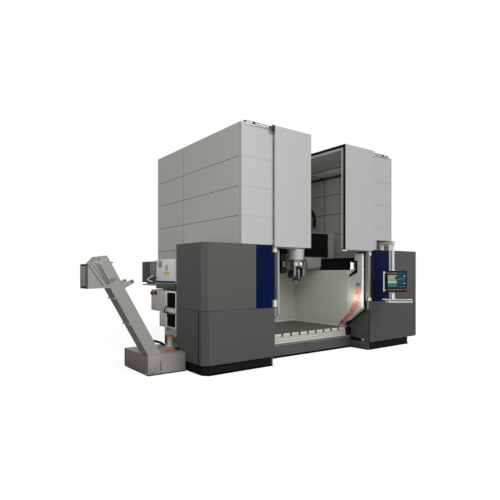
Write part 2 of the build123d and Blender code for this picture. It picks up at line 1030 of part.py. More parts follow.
def saddle():
    """Cross saddle: shoes on the X rails and a deep housing with the square guide for the ram."""
    x = (saddle_centre - saddle_width / 2, saddle_centre + saddle_width / 2)
    plate_back = beam_front - x_rail_proud - 20
    plate_front = beam_front - beam_cover_proud - saddle_plate
    body = block(x, (plate_front, plate_back), (x_bellows_bottom, saddle_top))
    for height in (x_rail_low, x_rail_high):
        half = rail_width / 2
        shoe = block(x, (plate_back, beam_front - 6), (height - half - 30, height + half + 30))
        shoe -= block(
            (x[0] - 1, x[1] + 1),
            (beam_front - x_rail_proud - running_gap, beam_front),
            (height - half - running_gap, height + half + running_gap),
        )
        body += shoe
    guide = ram_side / 2 + saddle_wall
    housing = [
        (saddle_centre - guide, ram_y - guide),
        (saddle_centre + guide, ram_y - guide),
        (saddle_centre + guide + 90, plate_front + 10),
        (saddle_centre - guide - 90, plate_front + 10),
    ]
    body += push(housing, "Z", saddle_bottom, saddle_top + 240)
    opening = ram_side / 2 + ram_gap
    hole = block(
        (saddle_centre - opening, saddle_centre + opening),
        (ram_y - opening, ram_y + opening),
        (saddle_bottom - 1, saddle_top + 241),
    )
    body -= fillet(hole.edges().filter_by(Axis.Z), ram_corner)
    tank_x = saddle_centre - saddle_width / 2 + accumulator_inset
    body += block((tank_x - 50, tank_x + 50), (ram_y - 20, plate_front + 10), (x_bellows_bottom + 30, x_bellows_bottom + 150))
    return merged(body)


def accumulator():
    """Square case of the weight balance's accumulators, hung from the saddle's left bracket."""
    x = saddle_centre - saddle_width / 2 + accumulator_inset
    y = ram_y + 50
    half, deep = accumulator_width / 2, accumulator_depth / 2
    case = block((x - half, x + half), (y - deep, y + deep), (accumulator_bottom, x_bellows_bottom + 30))
    return chamfer(case.edges().filter_by(Axis.Z), 6)


def ram():
    """Square ram with rounded corners, a round foot and a motor block on top."""
    half = ram_side / 2
    bar = block(
        (saddle_centre - half, saddle_centre + half),
        (ram_y - half, ram_y + half),
        (ram_bottom + ram_foot_height, ram_top),
    )
    bar = fillet(bar.edges().filter_by(Axis.Z), ram_corner)
    bar += rod((saddle_centre, ram_y), ram_foot_radius, "Z", ram_bottom, ram_bottom + ram_foot_height)
    bar += rod((saddle_centre, ram_y), half - 30, "Z", ram_top, ram_top + 190)
    return merged(bar)


def fork_head():
    """Rotary fork: a round collar under the ram and two rounded arms that hold the spindle."""
    top = ram_bottom - running_gap
    shelf = top - head_collar_height
    body = rod((saddle_centre, ram_y), head_collar_radius - 12, "Z", shelf, top)
    arm_bottom = tilt_axis_height
    half_depth = fork_depth / 2
    yoke = block(
        (saddle_centre - fork_width / 2, saddle_centre + fork_width / 2),
        (ram_y - half_depth, ram_y + half_depth),
        (arm_bottom, shelf),
    )
    yoke += rod((ram_y, tilt_axis_height), half_depth, "X", saddle_centre - fork_width / 2, saddle_centre + fork_width / 2)
    bridge = rod((saddle_centre, ram_y), head_collar_radius + 14, "Z", shelf - fork_top_height, shelf)
    yoke += bridge
    gap = block(
        (saddle_centre - fork_gap / 2, saddle_centre + fork_gap / 2),
        (ram_y - fork_width, ram_y + fork_width),
        (tilt_axis_height - fork_width, shelf - fork_top_height),
    )
    yoke -= gap
    body += yoke
    body -= rod(
        (ram_y, tilt_axis_height), trunnion_radius + bore_gap, "X", saddle_centre - fork_width, saddle_centre + fork_width
    )
    return merged(body)


def spindle_housing():
    """Motor spindle between the arms: a turned barrel with fins of cooling grooves and trunnions."""
    r = spindle_radius
    low = tilt_axis_height - spindle_bottom_reach
    high = tilt_axis_height + spindle_top_reach
    profile = [
        (0, low + 18),
        (nose_radius + bore_gap, low + 18),
        (nose_radius + bore_gap, low),
        (r - 14, low),
        (r, low + 30),
        (r, high - 30),
        (r - 24, high),
        (0, high),
    ]
    barrel = revolve(Plane.XZ * Polygon(*profile, align=None), Axis.Z)
    barrel = Pos(saddle_centre, ram_y, 0) * barrel
    reach = fork_width / 2
    barrel += rod((ram_y, tilt_axis_height), trunnion_radius, "X", saddle_centre - reach, saddle_centre + reach)
    return merged(barrel)


def spindle_nose():
    """Rotor nose with the tool holder and an end mill."""
    low = tilt_axis_height - spindle_bottom_reach
    profile = [
        (0, low + 18 - running_gap),
        (nose_radius, low + 18 - running_gap),
        (nose_radius, low - 12),
        (30, low - 20),
        (22, low - 50),
        (8, low - 50),
        (8, tool_tip_height),
        (0, tool_tip_height),
    ]
    nose = revolve(Plane.XZ * Polygon(*profile, align=None), Axis.Z)
    return Pos(saddle_centre, ram_y, 0) * nose


def work_lamps():
    """Tube lamps on brackets at the front ends of the shoulders."""
    x = shoulder_inner + 32
    y = front + y_bellows_start_inset - 40
    lamp = rod((x, y), lamp_radius, "Z", shoulder_top, shoulder_top + lamp_height)
    lamp += block((x - 12, x + 40), (y + 10, y + 30), (shoulder_top, shoulder_top + lamp_height + 12))
    return both_sides(merged(lamp))


def pendant_frame():
    """Place of the panel: under the arm's end, turned to face the operator."""
    return Pos(pendant_hang[0], pendant_hang[1], 0) * Rot(0, 0, pendant_turn)


def pendant_arm():
    """Swing arm of the pendant: a post on the console, a square tube and a socket at its end."""
    (ax, ay), (bx, by) = pendant_pivot, pendant_hang
    length = math.hypot(bx - ax, by - ay)
    turn = math.degrees(math.atan2(by - ay, bx - ax))
    half = arm_tube / 2
    tube = block((0, length), (-half, half), (pendant_arm_height, pendant_arm_height + arm_tube))
    tube += rod((0, 0), post_radius, "Z", pendant_base_top() + running_gap, pendant_arm_height + arm_tube)
    tube -= rod((0, 0), pivot_radius + bore_gap, "Z", pendant_base_top(), pendant_arm_height + arm_tube - 20)
    tube += rod((length, 0), hang_tube_radius + 10, "Z", pendant_arm_height - 30, pendant_arm_height + arm_tube)
    tube -= rod((length, 0), hang_pin_radius + bore_gap, "Z", pendant_arm_height - 31, pendant_arm_height + 20)
    return Pos(ax, ay, 0) * Rot(0, 0, turn) * merged(tube)


pivot_radius = 24
hang_pin_radius = 15
pendant_base_radius = 50
pendant_base_height = 26


def pendant_base_top():
    """Top of the flange that carries the pendant's post."""
    return console_height + pendant_base_height


def pendant_base():
    """Bracket behind the console's front that carries the arm's pivot."""
    x, y = pendant_pivot
    header_back = front + front_door_inset + header_half
    base = block((x - 60, x + 60), (header_back, y + 50), (console_height - 60, console_height))
    base += rod((x, y), pendant_base_radius, "Z", console_height, pendant_base_top())
    base += rod((x, y), pivot_radius, "Z", pendant_base_top(), pendant_arm_height + arm_tube - 22)
    return merged(base)


def pendant_panel():
    """Operator panel with its hanging tube, a hand bar on the left and the tray's hinge ears."""
    left = panel_offset - panel_width / 2
    right = panel_offset + panel_width / 2
    face = -panel_depth / 2
    body = block((left, right), (face, panel_depth / 2), (panel_bottom, panel_bottom + panel_height))
    body = chamfer(body.faces().sort_by(Axis.Y)[-1].edges(), 14)
    body += rod((0, 0), hang_tube_radius, "Z", panel_bottom + panel_height - 2, pendant_arm_height - 30 - running_gap)
    body += rod((0, 0), hang_pin_radius, "Z", pendant_arm_height - 40, pendant_arm_height + 18)
    bar_x = left - 40
    for height in (panel_bottom + 40, panel_bottom + panel_height - 40):
        body += rod((0, height), 9, "X", bar_x, left + 2)
    body += rod((bar_x, 0), 14, "Z", panel_bottom + 10, panel_bottom + panel_height - 10)
    post = 30
    body += block((-post, post), (-15, 15), (tray_top + 34, panel_bottom + 2))
    ear = post - 10
    body += rod((tray_hinge_y, tray_hinge_z), 22, "X", -ear, ear)
    body += block((-ear, ear), (tray_hinge_y - 15, 15), (tray_hinge_z, tray_top + 36))
    body -= rod((tray_hinge_y, tray_hinge_z), tray_pin_radius + bore_gap, "X", -post - 1, post + 1)
    screen_x = (panel_offset - screen_width / 2, panel_offset + screen_width / 2)
    body -= block(screen_x, (face - 1, face + screen_thickness), (screen_bottom, screen_bottom + screen_height))
    stop = stop_place()
    body -= rod((stop[0], stop[1]), button_stem_radius + bore_gap, "Y", face - 1, face + 30)
    return pendant_frame() * merged(body)


tray_hinge_y = -10
tray_hinge_z = tray_top + 12
tray_pin_radius = 6
screen_bottom = panel_bottom + 98


def stop_place():
    """The stop button's place on the panel, across and up."""
    return panel_offset + panel_width / 2 - 42, panel_bottom + 48


def pendant_screen():
    x = (panel_offset - screen_width / 2, panel_offset + screen_width / 2)
    face = -panel_depth / 2
    pane = block(x, (face, face + screen_thickness), (screen_bottom, screen_bottom + screen_height))
    return pendant_frame() * pane


def stop_button():
    """Mushroom stop button that is pushed in along its stem."""
    face = -panel_depth / 2
    x, z = stop_place()
    profile = [
        (0, 24),
        (button_stem_radius, 24),
        (button_stem_radius, -10),
        (button_radius, -10),
        (button_radius - 3, -button_reach),
        (0, -button_reach),
    ]
    turned = revolve(Plane.XY * Polygon(*profile, align=None), Axis.Y)
    return pendant_frame() * Pos(x, face, z) * turned


def keyboard_tray():
    """Folding keyboard tray on a hinge pin under the panel's post."""
    left = panel_offset - tray_width / 2
    right = panel_offset + tray_width / 2
    rear = tray_hinge_y - 24
    tray = block((left, right), (rear - tray_depth, rear), (tray_bottom, tray_top))
    tray = fillet(tray.edges().filter_by(Axis.Z), 18)
    tray -= block((left + 16, right - 16), (rear - tray_depth + 30, rear - 16), (tray_top - 10, tray_top + 1))
    ear_start = 20 + running_gap
    for side in (-1, 1):
        span = (side * ear_start, side * (ear_start + 12))
        tray += block(span, (rear - 10, tray_hinge_y), (tray_bottom, tray_hinge_z))
        tray += rod((tray_hinge_y, tray_hinge_z), 12, "X", span[0], span[1])
    tray += rod((tray_hinge_y, tray_hinge_z), tray_pin_radius, "X", -ear_start - 6, ear_start + 6)
    return pendant_frame() * merged(tray)


def hose_route():
    """Middle line of the coiled hose, from its hook down to the gun on the table."""
    top = hose_top()
    low = hose_end()
    return [
        top,
        (top[0] - 6, top[1] + 25, top[2] - 245),
        (top[0] - 12, top[1] + 115, top[2] - 465),
        (low[0] - 5, low[1] - 150, low[2] + 130),
        low,
    ]


def hose_top():
    return (cell_side - 62, front + 120, hook_height - 30)


def hose_end():
    return (cell_side - 65, front + 530, table_height + 120)


def air_hose():
    """The coiled hose as one tube of its outer size."""
    points = hose_route()
    radii = []
    for before, corner, after in zip(points, points[1:], points[2:]):
        first = Vector(*corner) - Vector(*before)
        second = Vector(*after) - Vector(*corner)
        turn = math.radians(first.get_angle(second))
        radii.append(0.45 * min(first.length, second.length) / math.tan(turn / 2))
    print("hose radii", [round(radius) for radius in radii])
    path = FilletPolyline(*points, radius=radii)
    start = Plane(origin=path @ 0, z_dir=path % 0)
    return sweep(start * Circle(hose_outer_radius), path=path)


def hose_hook():
    """Connector block on the cell wall, with the hook that the hose hangs from."""
    x, y, z = hose_top()
    connector = block((x - nipple_radius, cell_side), (y - 28, y + 28), (z + 22, z + 75))
    path_lean = Vector(*hose_route()[1]) - Vector(*hose_route()[0])
    plane = Plane(origin=(x, y, z), z_dir=path_lean * -1)
    connector += extrude(plane * Circle(nipple_radius), amount=46)
    return merged(connector)


def gun_frame():
    """Place of the blow gun: its grip continues the hose."""
    route = hose_route()
    lean = Vector(*route[-1]) - Vector(*route[-2])
    return Plane(origin=route[-1], x_dir=(1, 0, 0), z_dir=lean)


def air_gun():
    """Blow gun with a collar, a round grip and a thin barrel whose tip rests on the table."""
    frame = gun_frame()
    drop = -frame.z_dir.Z
    lean = math.sqrt(1 - drop * drop)
    reach = (frame.origin.Z - table_height - barrel_radius * lean) / drop
    gun = extrude(frame * Circle(gun_radius + 5), amount=14)
    gun += extrude(frame * Circle(gun_radius), amount=gun_grip_length)
    gun += extrude(frame * Circle(barrel_radius), amount=reach)
    return merged(gun)


def conveyor_x(offset):
    """X of a point of the conveyor, given from the left end of the machine."""
    return left_end + offset


def up_trunk(start, height):
    """The point at a height on the line up the trunk through a start point."""
    lean = (trunk_knee[0] - trunk_foot[0]) / (trunk_knee[1] - trunk_foot[1])
    return start[0] + (height - start[1]) * lean, height


def belt_centre(height):
    """Middle between the trunk's two long edges at a height."""
    low = up_trunk(trunk_foot, height)
    high = up_trunk((trunk_foot_rear, tank_height), height)
    return conveyor_x((low[0] + high[0]) / 2), height


def trunk_outline():
    """Side outline of the conveyor's trunk and head, in width and height."""
    crown = up_trunk((trunk_foot_rear, tank_height), head_top)
    foot = up_trunk(trunk_foot, tank_height)
    return [
        (conveyor_x(foot[0]), tank_height),
        (conveyor_x(trunk_knee[0]), trunk_knee[1]),
        (conveyor_x(-chute_length), chute_bottom),
        (conveyor_x(-chute_length), chute_top),
        (conveyor_x(hood_start), chute_top + 8),
        (conveyor_x(hood_end), head_top - 18),
        (conveyor_x(crown[0]), head_top),
        (conveyor_x(trunk_foot_rear), tank_height),
    ]


def belt_loop(radius):
    """Outline of the belt's loop about its two end rollers, at a given radius."""
    upper = Vector(*belt_centre(drum_height))
    lower = Vector(*belt_centre(tail_height))
    middle = (upper + lower) * 0.5
    run = upper - lower
    lean = math.degrees(math.atan2(run.Y, run.X))
    loop = SlotCenterToCenter(run.length, 2 * radius)
    frame = Plane(origin=(middle.X, 0, middle.Y), x_dir=(1, 0, 0), z_dir=(0, -1, 0))
    return frame * Rot(0, 0, lean) * loop


def trunk_sides():
    """Inner and outer faces of the trunk, along the depth."""
    start = front + trunk_front_inset
    return start, start + trunk_width


def conveyor_trunk():
    """Inclined trunk and discharge head of the chip conveyor, folded from sheet."""
    start, end = trunk_sides()
    trunk = push(trunk_outline(), "Y", start, end)
    trunk -= push(inner_outline(), "Y", start + trunk_sheet, end - trunk_sheet)
    trunk += drive_cover(start)
    for ear in lifting_ears(start):
        trunk += ear
    trunk -= rod(belt_centre(drum_height), shaft_radius + bore_gap, "Y", start - 22, end + 1)
    return merged(trunk)


def inner_outline():
    """The trunk's hollow: its side outline moved in by one sheet, open at the chute and the foot."""
    outline = trunk_outline()
    count = len(outline)
    inner = []
    for index, (px, py) in enumerate(outline):
        before = outline[index - 1]
        after = outline[(index + 1) % count]
        first = Vector(px - before[0], py - before[1]).normalized()
        second = Vector(after[0] - px, after[1] - py).normalized()
        n1 = Vector(first.Y, -first.X)
        n2 = Vector(second.Y, -second.X)
        n = n1 + n2
        reach = trunk_sheet * 2 / (n.length * n.length)
        inner.append([px + n.X * reach, py + n.Y * reach])
    for index in (2, 3):
        inner[index][0] = outline[index][0] - 1
    for index in (0, 7):
        inner[index] = up_trunk(inner[index], tank_height - 1)
    return [tuple(point) for point in inner]


def drive_cover(face):
    """Cover of the drum's chain drive, raised on the trunk's near side."""
    width, length, height = drive_cover_size
    top = belt_centre(head_top)
    lean = math.degrees(math.atan2(belt_centre(tank_height)[0] - top[0], head_top - tank_height))
    x, z = drive_cover_centre
    frame = Plane(origin=(conveyor_x(x), face + 1, z), x_dir=(1, 0, 0), z_dir=(0, -1, 0))
    return extrude(frame * Rot(0, 0, lean) * Rectangle(width, length), amount=height + 1)


def lifting_ears(face):
    """Two rounded ears with holes on the trunk's upper edge."""
    ears = []
    for base, tip, radius in (
        ((-1090, 1352), (-889, 1455), 34),
        ((-1060, 1440), (-997, 1471), 26),
    ):
        a = Vector(conveyor_x(base[0]), base[1])
        b = Vector(conveyor_x(tip[0]), tip[1])
        run = b - a
        middle = (a + b) * 0.5
        frame = Plane(origin=(middle.X, face, middle.Y), x_dir=(1, 0, 0), z_dir=(0, -1, 0))
        lean = math.degrees(math.atan2(run.Y, run.X))
        bar = extrude(
            frame * Rot(0, 0, lean) * SlotCenterToCenter(run.length, 2 * radius),
            amount=ear_thickness,
            dir=(0, 1, 0),
        )
        bar -= rod((b.X, b.Y), radius * 0.45, "Y", face - 1, face + ear_thickness + 1)
        ears.append(bar)
    return ears


def conveyor_belt():
    """Hinged steel belt in one loop round the drum and the tail."""
    start, end = trunk_sides()
    width = (start + trunk_sheet + 6, end - trunk_sheet - 6)
    outer = belt_loop(drum_radius + running_gap + belt_thickness)
    inner = belt_loop(drum_radius + running_gap)
    ring = extrude(outer - inner, amount=width[1] - width[0], dir=(0, 1, 0))
    return merged(Pos(0, width[0], 0) * ring)


def conveyor_drum():
    """Head drum with its shaft, which turns in the trunk's side plates."""
    start, end = trunk_sides()
    centre = belt_centre(drum_height)
    drum = rod(centre, drum_radius, "Y", start + trunk_sheet + 4, end - trunk_sheet - 4)
    drum += rod(centre, shaft_radius, "Y", start - 20, end)
    return merged(drum)


def conveyor_tank():
    """Coolant tank under the conveyor, with a tail that runs in under the flank's boxes."""
    start = front + tank_front_inset
    left = conveyor_x(-tank_length - 2)
    body = block((left, left_end), (start, start + tank_depth), (tank_foot, tank_height))
    tail_end = -shoulder_outer - tank_tail_gap
    body += block((left_end - 2, tail_end), (console_back + 6, start + tank_depth), (tank_foot, tank_height))
    near, far = trunk_sides()
    body -= block(
        (conveyor_x(-634), conveyor_x(-420)),
        (near + trunk_sheet, far - trunk_sheet),
        (tail_height - drum_radius - belt_thickness - 20, tank_height + 1),
    )
    for x in (left + 60, left_end - 120):
        for y in (start + 60, start + tank_depth - 60):
            body += block((x - 30, x + 30), (y - 30, y + 30), (0, tank_foot))
    return merged(body)


def tank_fittings():
    """Red port ring and the tall level cup on the tank's top."""
    ring = rod((conveyor_x(-130), front + 800), 120, "Z", tank_height, tank_height + 12)
    ring -= rod((conveyor_x(-130), front + 800), 88, "Z", tank_height + 4, tank_height + 13)
    cup_x, cup_y = conveyor_x(60), front + 1240
    cup = rod((cup_x, cup_y), 58, "Z", tank_height, tank_height + 14)
    cup += Pos(cup_x, cup_y, tank_height + 94) * Cone(40, 52, 160)
    cup += rod((cup_x, cup_y), 56, "Z", tank_height + 174, tank_height + 196)
    return Compound([merged(ring), merged(cup)])


def flank_box(sizes, inner, chamfer_size):
    """A cabinet on the left flank: start and end along the depth, then bottom and top."""
    start, end, bottom, top = sizes
    body = block((left_end + flank_face_inset, inner), (front + start, front + end), (bottom, top))
    outer_edges = body.edges().filter_by(Axis.Z).sort_by(Axis.X)[:2]
    return fillet(outer_edges, chamfer_size)


def supply_unit():
    return flank_box(supply_box, -wall_outer, 12)


def filter_unit():
    """Filter housing behind the supply unit, with a bottom that slopes up to the back."""
    start, end, bottom, top = filter_box
    outline = [
        (front + start, bottom),
        (front + end - 260, bottom),
        (front + end, bottom + 120),
        (front + end, top),
        (front + start, top),
    ]
    return merged(push(outline, "X", left_end + flank_face_inset, -wall_outer))


def side_cabinets():
    middle = flank_box(middle_box, -shoulder_outer, 12)
    lower = flank_box(lower_box, -shoulder_outer, 12)
    x = left_end + flank_face_inset
    neck_x = (x + cabinet_neck_inset, -shoulder_outer)
    neck_y = (front + lower_box[0] + 100, front + lower_box[1] - 155)
    middle += block(neck_x, neck_y, (middle_box[3], shelf_height - shelf_thickness))
    lower += block(neck_x, neck_y, (lower_box[3], middle_box[2] - running_gap))
    for name in ("main_switch", "valve"):
        y, z = knob_place(name)
        middle -= rod((y, z), 8 + bore_gap, "X", x - 1, x + 30)
    return Compound([merged(middle), merged(lower)])


def louvre_grilles():
    """Black louvred grilles on the two flank cabinets."""
    grilles = []
    x = left_end + flank_face_inset
    for sizes in (middle_box, lower_box):
        bottom, top = sizes[2] + 36, sizes[3] - 36
        if top - bottom > 260:
            bottom = top - 260
        start = front + sizes[0] + grille_inset
        frame = block((x - 10, x), (start, start + grille_length), (bottom, top))
        pitch = (top - bottom) / slat_count
        for index in range(slat_count):
            z = bottom + pitch * (index + 0.5)
            slat = [(x - 10, z - pitch * 0.35), (x - 26, z - pitch * 0.45), (x - 10, z + pitch * 0.3)]
            frame += push(slat, "Y", start + 12, start + grille_length - 12)
        grilles.append(merged(frame))
    return Compound(grilles)


def knob_place(name):
    """Depth and height of the two red knobs on the middle cabinet's face."""
    end, top = front + middle_box[1], middle_box[3]
    places = {"main_switch": (end - 70, top - 65), "valve": (end - 230, top - 55)}
    return places[name]


def knob(name, radius):
    """Red rotary knob: a round flange, a grip bar and the shaft that turns in the cabinet."""
    y, z = knob_place(name)
    x = left_end + flank_face_inset
    body = rod((y, z), radius, "X", x - 22, x - running_gap)
    body += block((x - 44, x - 20), (y - 8, y + 8), (z - radius + 4, z + radius - 4))
    body += rod((y, z), 8, "X", x - 22, x + 26)
    return merged(body)


def main_switch_knob():
    return knob("main_switch", knob_radius)


def valve_knob():
    return knob("valve", knob_radius * 0.8)


nodes = [
    levelling_feet,
    base_frame,
    work_table,
    left_shoulder,
    right_shoulder,
    cell_liner,
    left_side_wall,
    right_side_wall,
    back_wall,
    fixed_roof,
    front_panels,
    door_cylinders,
    left_console_lower,
    left_console_upper,
    right_console_lower,
    right_console_upper,
    blue_panels,
    plinths,
    aprons,
    door_brackets,
    work_lamps,
    y_bellows_front,
    y_bellows_rear,
    crossbeam,
    x_bellows_left,
    x_bellows_right,
    saddle,
    accumulator,
    ram,
    fork_head,
    spindle_housing,
    spindle_nose,
    left_roof_door,
    right_roof_door,
    left_front_door,
    left_door_window,
    right_front_door,
    right_door_window,
    cabinet_door,
    pendant_base,
    pendant_arm,
    pendant_panel,
    pendant_screen,
    stop_button,
    keyboard_tray,
    hose_hook,
    air_hose,
    air_gun,
    conveyor_tank,
    tank_fittings,
    conveyor_trunk,
    conveyor_belt,
    conveyor_drum,
    supply_unit,
    filter_unit,
    side_cabinets,
    louvre_grilles,
    main_switch_knob,
    valve_knob,
]

for make in nodes:
    export_step(make(), f"parts/{make.__name__}.step")
print(len(nodes), "nodes")
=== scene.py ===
# %% [markdown]
# # A gantry machining centre, dressed in Blender
# The machine comes from CAD as a fixed frame of plain solids. This notebook puts a camera where the
# photographer stood, gives every solid the finish of the real material, and replaces or adds the pieces
# that a plain solid can't show: pleated covers, the coiled air hose, seals, keys, belts and bolts.
# Everything is in metres, with the floor at z = 0, x to the right along the front and y to the back.

# %% Load the frame
import math

import bmesh
import bpy
from mathutils import Matrix, Vector


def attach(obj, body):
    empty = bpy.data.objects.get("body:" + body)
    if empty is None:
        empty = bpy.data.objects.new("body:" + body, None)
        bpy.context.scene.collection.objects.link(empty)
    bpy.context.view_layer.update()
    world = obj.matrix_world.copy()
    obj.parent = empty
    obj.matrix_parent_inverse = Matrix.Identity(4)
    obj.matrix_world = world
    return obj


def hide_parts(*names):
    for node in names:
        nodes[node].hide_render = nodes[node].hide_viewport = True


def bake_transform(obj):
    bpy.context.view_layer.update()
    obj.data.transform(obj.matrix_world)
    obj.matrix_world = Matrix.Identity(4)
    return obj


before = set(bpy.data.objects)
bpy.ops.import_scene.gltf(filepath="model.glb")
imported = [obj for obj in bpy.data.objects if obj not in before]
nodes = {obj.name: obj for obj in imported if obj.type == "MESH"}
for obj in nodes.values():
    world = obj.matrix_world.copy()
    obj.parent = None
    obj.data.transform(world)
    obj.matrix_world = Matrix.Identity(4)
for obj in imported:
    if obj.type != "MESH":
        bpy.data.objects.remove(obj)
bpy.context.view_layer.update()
print("frame loaded:", len(nodes), "solids")

# %% [markdown]
# ## Camera
# The photograph was taken at eye height, from the left, with the verticals kept upright. In Blender that
# is a level camera with a small vertical shift, rather than a camera that is tilted up: a tilt would make
# the walls lean together. The focal length and the shift were worked out in pixels from the machine's own
# edges. Everything that enters the scene, the camera first, does so through one small helper.


# %% Place the camera
def show(name, data):
    """A new object with the given data, linked into the scene."""
    made = bpy.data.objects.new(name, data)
    bpy.context.scene.collection.objects.link(made)
    return made


picture_pixels, focal_pixels, shift_pixels = 500, 443, 22
camera_turn = math.radians(-36.87)
lens = bpy.data.cameras.new("eye_level_lens")
lens.sensor_width = 36
lens.lens = 36 * focal_pixels / picture_pixels
lens.shift_y = shift_pixels / picture_pixels
lens.clip_end = 200
camera = show("eye_level_camera", lens)
camera.location = (-6.121, -7.290, 1.6)
camera.rotation_euler = (math.radians(90), 0, camera_turn)
bpy.context.scene.camera = camera
print("camera at", tuple(camera.location))

# %% [markdown]
# ## Helpers for node materials
# Colours are given as sRGB hex values, while the shader wants linear light, so one function turns one into
# the other. Another adds any node with its settings and links in one line, which keeps each material below
# short enough to read as a recipe.


# %% Colour helpers
def linear(hex_colour):
    """An sRGB hex colour as linear red, green, blue and alpha."""
    channels = [int(hex_colour[i : i + 2], 16) / 255 for i in (1, 3, 5)]
    return [c / 12.92 if c <= 0.04045 else ((c + 0.055) / 1.055) ** 2.4 for c in channels] + [1]


def shaded(hex_colour, factor):
    """The same colour in linear light, made darker or lighter by a factor."""
    return [min(1, channel * factor) for channel in linear(hex_colour)[:3]] + [1]


print("a middle grey in linear light:", round(linear("#808080")[0], 3))


# %% Node helpers
def add(material, kind, inputs=None, **settings):
    """Adds a node, sets its properties, and links or sets its inputs."""
    tree = material.node_tree
    made = tree.nodes.new(kind)
    for name, value in settings.items():
        setattr(made, name, value)
    for name, value in (inputs or {}).items():
        if isinstance(value, bpy.types.NodeSocket):
            tree.links.new(value, made.inputs[name])
        else:
            made.inputs[name].default_value = value
    return made


def start_material(name, **sockets):
    """A node material, with constant values set on the shader's own sockets."""
    material = bpy.data.materials.new(name)
    material.use_nodes = True
    shader = material.node_tree.nodes["Principled BSDF"]
    for socket, value in sockets.items():
        shader.inputs[socket.replace("_", " ")].default_value = value
    return material, shader


def feed(shader, **sources):
    """Links sockets of other nodes to the shader's own sockets."""
    for socket, source in sources.items():
        shader.id_data.links.new(source, shader.inputs[socket.replace("_", " ")])


print("node helpers ready")

# %% [markdown]
# ## Powder coat
# Nearly every sheet on this machine is powder-coated steel: plastic powder, melted on in an oven. It
# leaves a faint orange peel a few millimetres wide, and large panels are never quite even in tone. A fine
# noise drives the bump for the peel, and a broad noise moves the colour a few percent between two mixes.
# The peel of a real coat is finer than a pixel here, so it is drawn a little coarser than life.


# %% Powder coat recipe
def powder_coat(name, colour, unevenness=0.05, roughness=0.42, peel_mm=6, peel=0.12, sheen=0.5):
    """Powder-coated steel of a given colour: slightly uneven, with a fine orange peel."""
    material, shader = start_material(name, Roughness=roughness, Specular_IOR_Level=sheen)
    place = add(material, "ShaderNodeTexCoord").outputs["Object"]
    broad = add(material, "ShaderNodeTexNoise", {"Vector": place, "Scale": 1.1, "Detail": 4.0}).outputs[0]
    low, high = shaded(colour, 1 - unevenness), shaded(colour, 1 + unevenness)
    tone = add(material, "ShaderNodeMix", {0: broad, 6: low, 7: high}, data_type="RGBA")
    fine = add(material, "ShaderNodeTexNoise", {"Vector": place, "Scale": 1000 / peel_mm}).outputs[0]
    peeled = add(material, "ShaderNodeBump", {"Height": fine, "Strength": peel, "Distance": 0.001})
    feed(shader, Base_Color=tone.outputs[2], Normal=peeled.outputs[0])
    return material


wall_coat = powder_coat("powder_coat_warm_grey", "#BCB9B1", unevenness=0.04)
door_coat = powder_coat("powder_coat_mid_grey", "#868684", unevenness=0.03)
front_coat = powder_coat("powder_coat_silver_grey", "#B4B4B2", unevenness=0.03)
console_coat = powder_coat("powder_coat_graphite", "#4B4A47", unevenness=0.05, roughness=0.5, peel=0.3)
cabinet_coat = powder_coat("powder_coat_slate", "#454745", unevenness=0.05, roughness=0.5, peel=0.3)
plinth_coat = powder_coat("powder_coat_black", "#161515", roughness=0.7, sheen=0.1)
base_coat = powder_coat("base_paint_dark_grey", "#4E4F4E", unevenness=0.08)
casting_coat = powder_coat("casting_paint_pale_green_grey", "#B4B8AE", unevenness=0.05, peel_mm=14, peel=0.2)
head_coat = powder_coat("head_paint_pale_grey", "#D0D3D0", unevenness=0.03, roughness=0.3)
pendant_coat = powder_coat("pendant_paint_light_grey", "#CFCEC8", roughness=0.4)
conveyor_coat = powder_coat("conveyor_paint_grey", "#8D8C87", unevenness=0.06, roughness=0.4)
tank_coat = powder_coat("tank_paint_grey", "#8A8782", unevenness=0.1)
# A dark greenish paint used as painted shade for the recess below the supply cabinet.
recess_shade_coat = powder_coat("recess_shade_paint", "#3D4038", unevenness=0.2)
return_coat = powder_coat("conveyor_underside_paint", "#77786C", unevenness=0.2)
# A darker copy of the tank's paint, used as painted shade on the tank's left end.
tank_shade_coat = powder_coat("tank_paint_painted_shade", "#6E6862", unevenness=0.12)
unit_coat = powder_coat("unit_paint_white", "#ECECE8", unevenness=0.02)
cabinet_side_coat = powder_coat("switch_cabinet_paint_grey", "#BAB9B4", unevenness=0.04)
unit_dark_coat = powder_coat("unit_paint_dark", "#4A4A49", roughness=0.6, sheen=0.2)
trim_white = powder_coat("trim_paint_white", "#EDEDEA", unevenness=0.02)
strip_blue_grey = powder_coat("strip_paint_blue_grey", "#9AA0A8", unevenness=0.03)
print("powder coats made")

# %% [markdown]
# ## Enamelled liner
# The inside of the cell is washed with coolant all day, so its sheets have a smoother and whiter enamel.
# Splashes leave faint vertical streaks: a noise that is stretched along z, twelve times as tall as wide.

# %% Enamel with faint streaks
liner_enamel, shader = start_material("liner_enamel", Roughness=0.25)
place = add(liner_enamel, "ShaderNodeTexCoord").outputs["Object"]
stretch = add(liner_enamel, "ShaderNodeMapping", {"Vector": place, "Scale": (6, 6, 0.5)}).outputs[0]
streaks = add(liner_enamel, "ShaderNodeTexNoise", {"Vector": stretch, "Scale": 1.0, "Detail": 5.0})
tones = {0: streaks.outputs[0], 6: linear("#CDD1C5"), 7: linear("#DDE0D5")}
feed(shader, Base_Color=add(liner_enamel, "ShaderNodeMix", tones, data_type="RGBA").outputs[2])
print("liner enamel made")

# %% [markdown]
# ## Lacquer and glass
# The two tall crowned panels at the doorway are high-gloss lacquer in a deep blue: a thin clear coat over
# a dark base, which stays nearly black where nothing is mirrored. The door windows are thick laminated
# panes with a faint blue tint. The screen is glass too, but with a dark layer behind, so it only mirrors.
# The lamp tubes glow through frosted glass. All four drift softly between two colours, by one recipe.


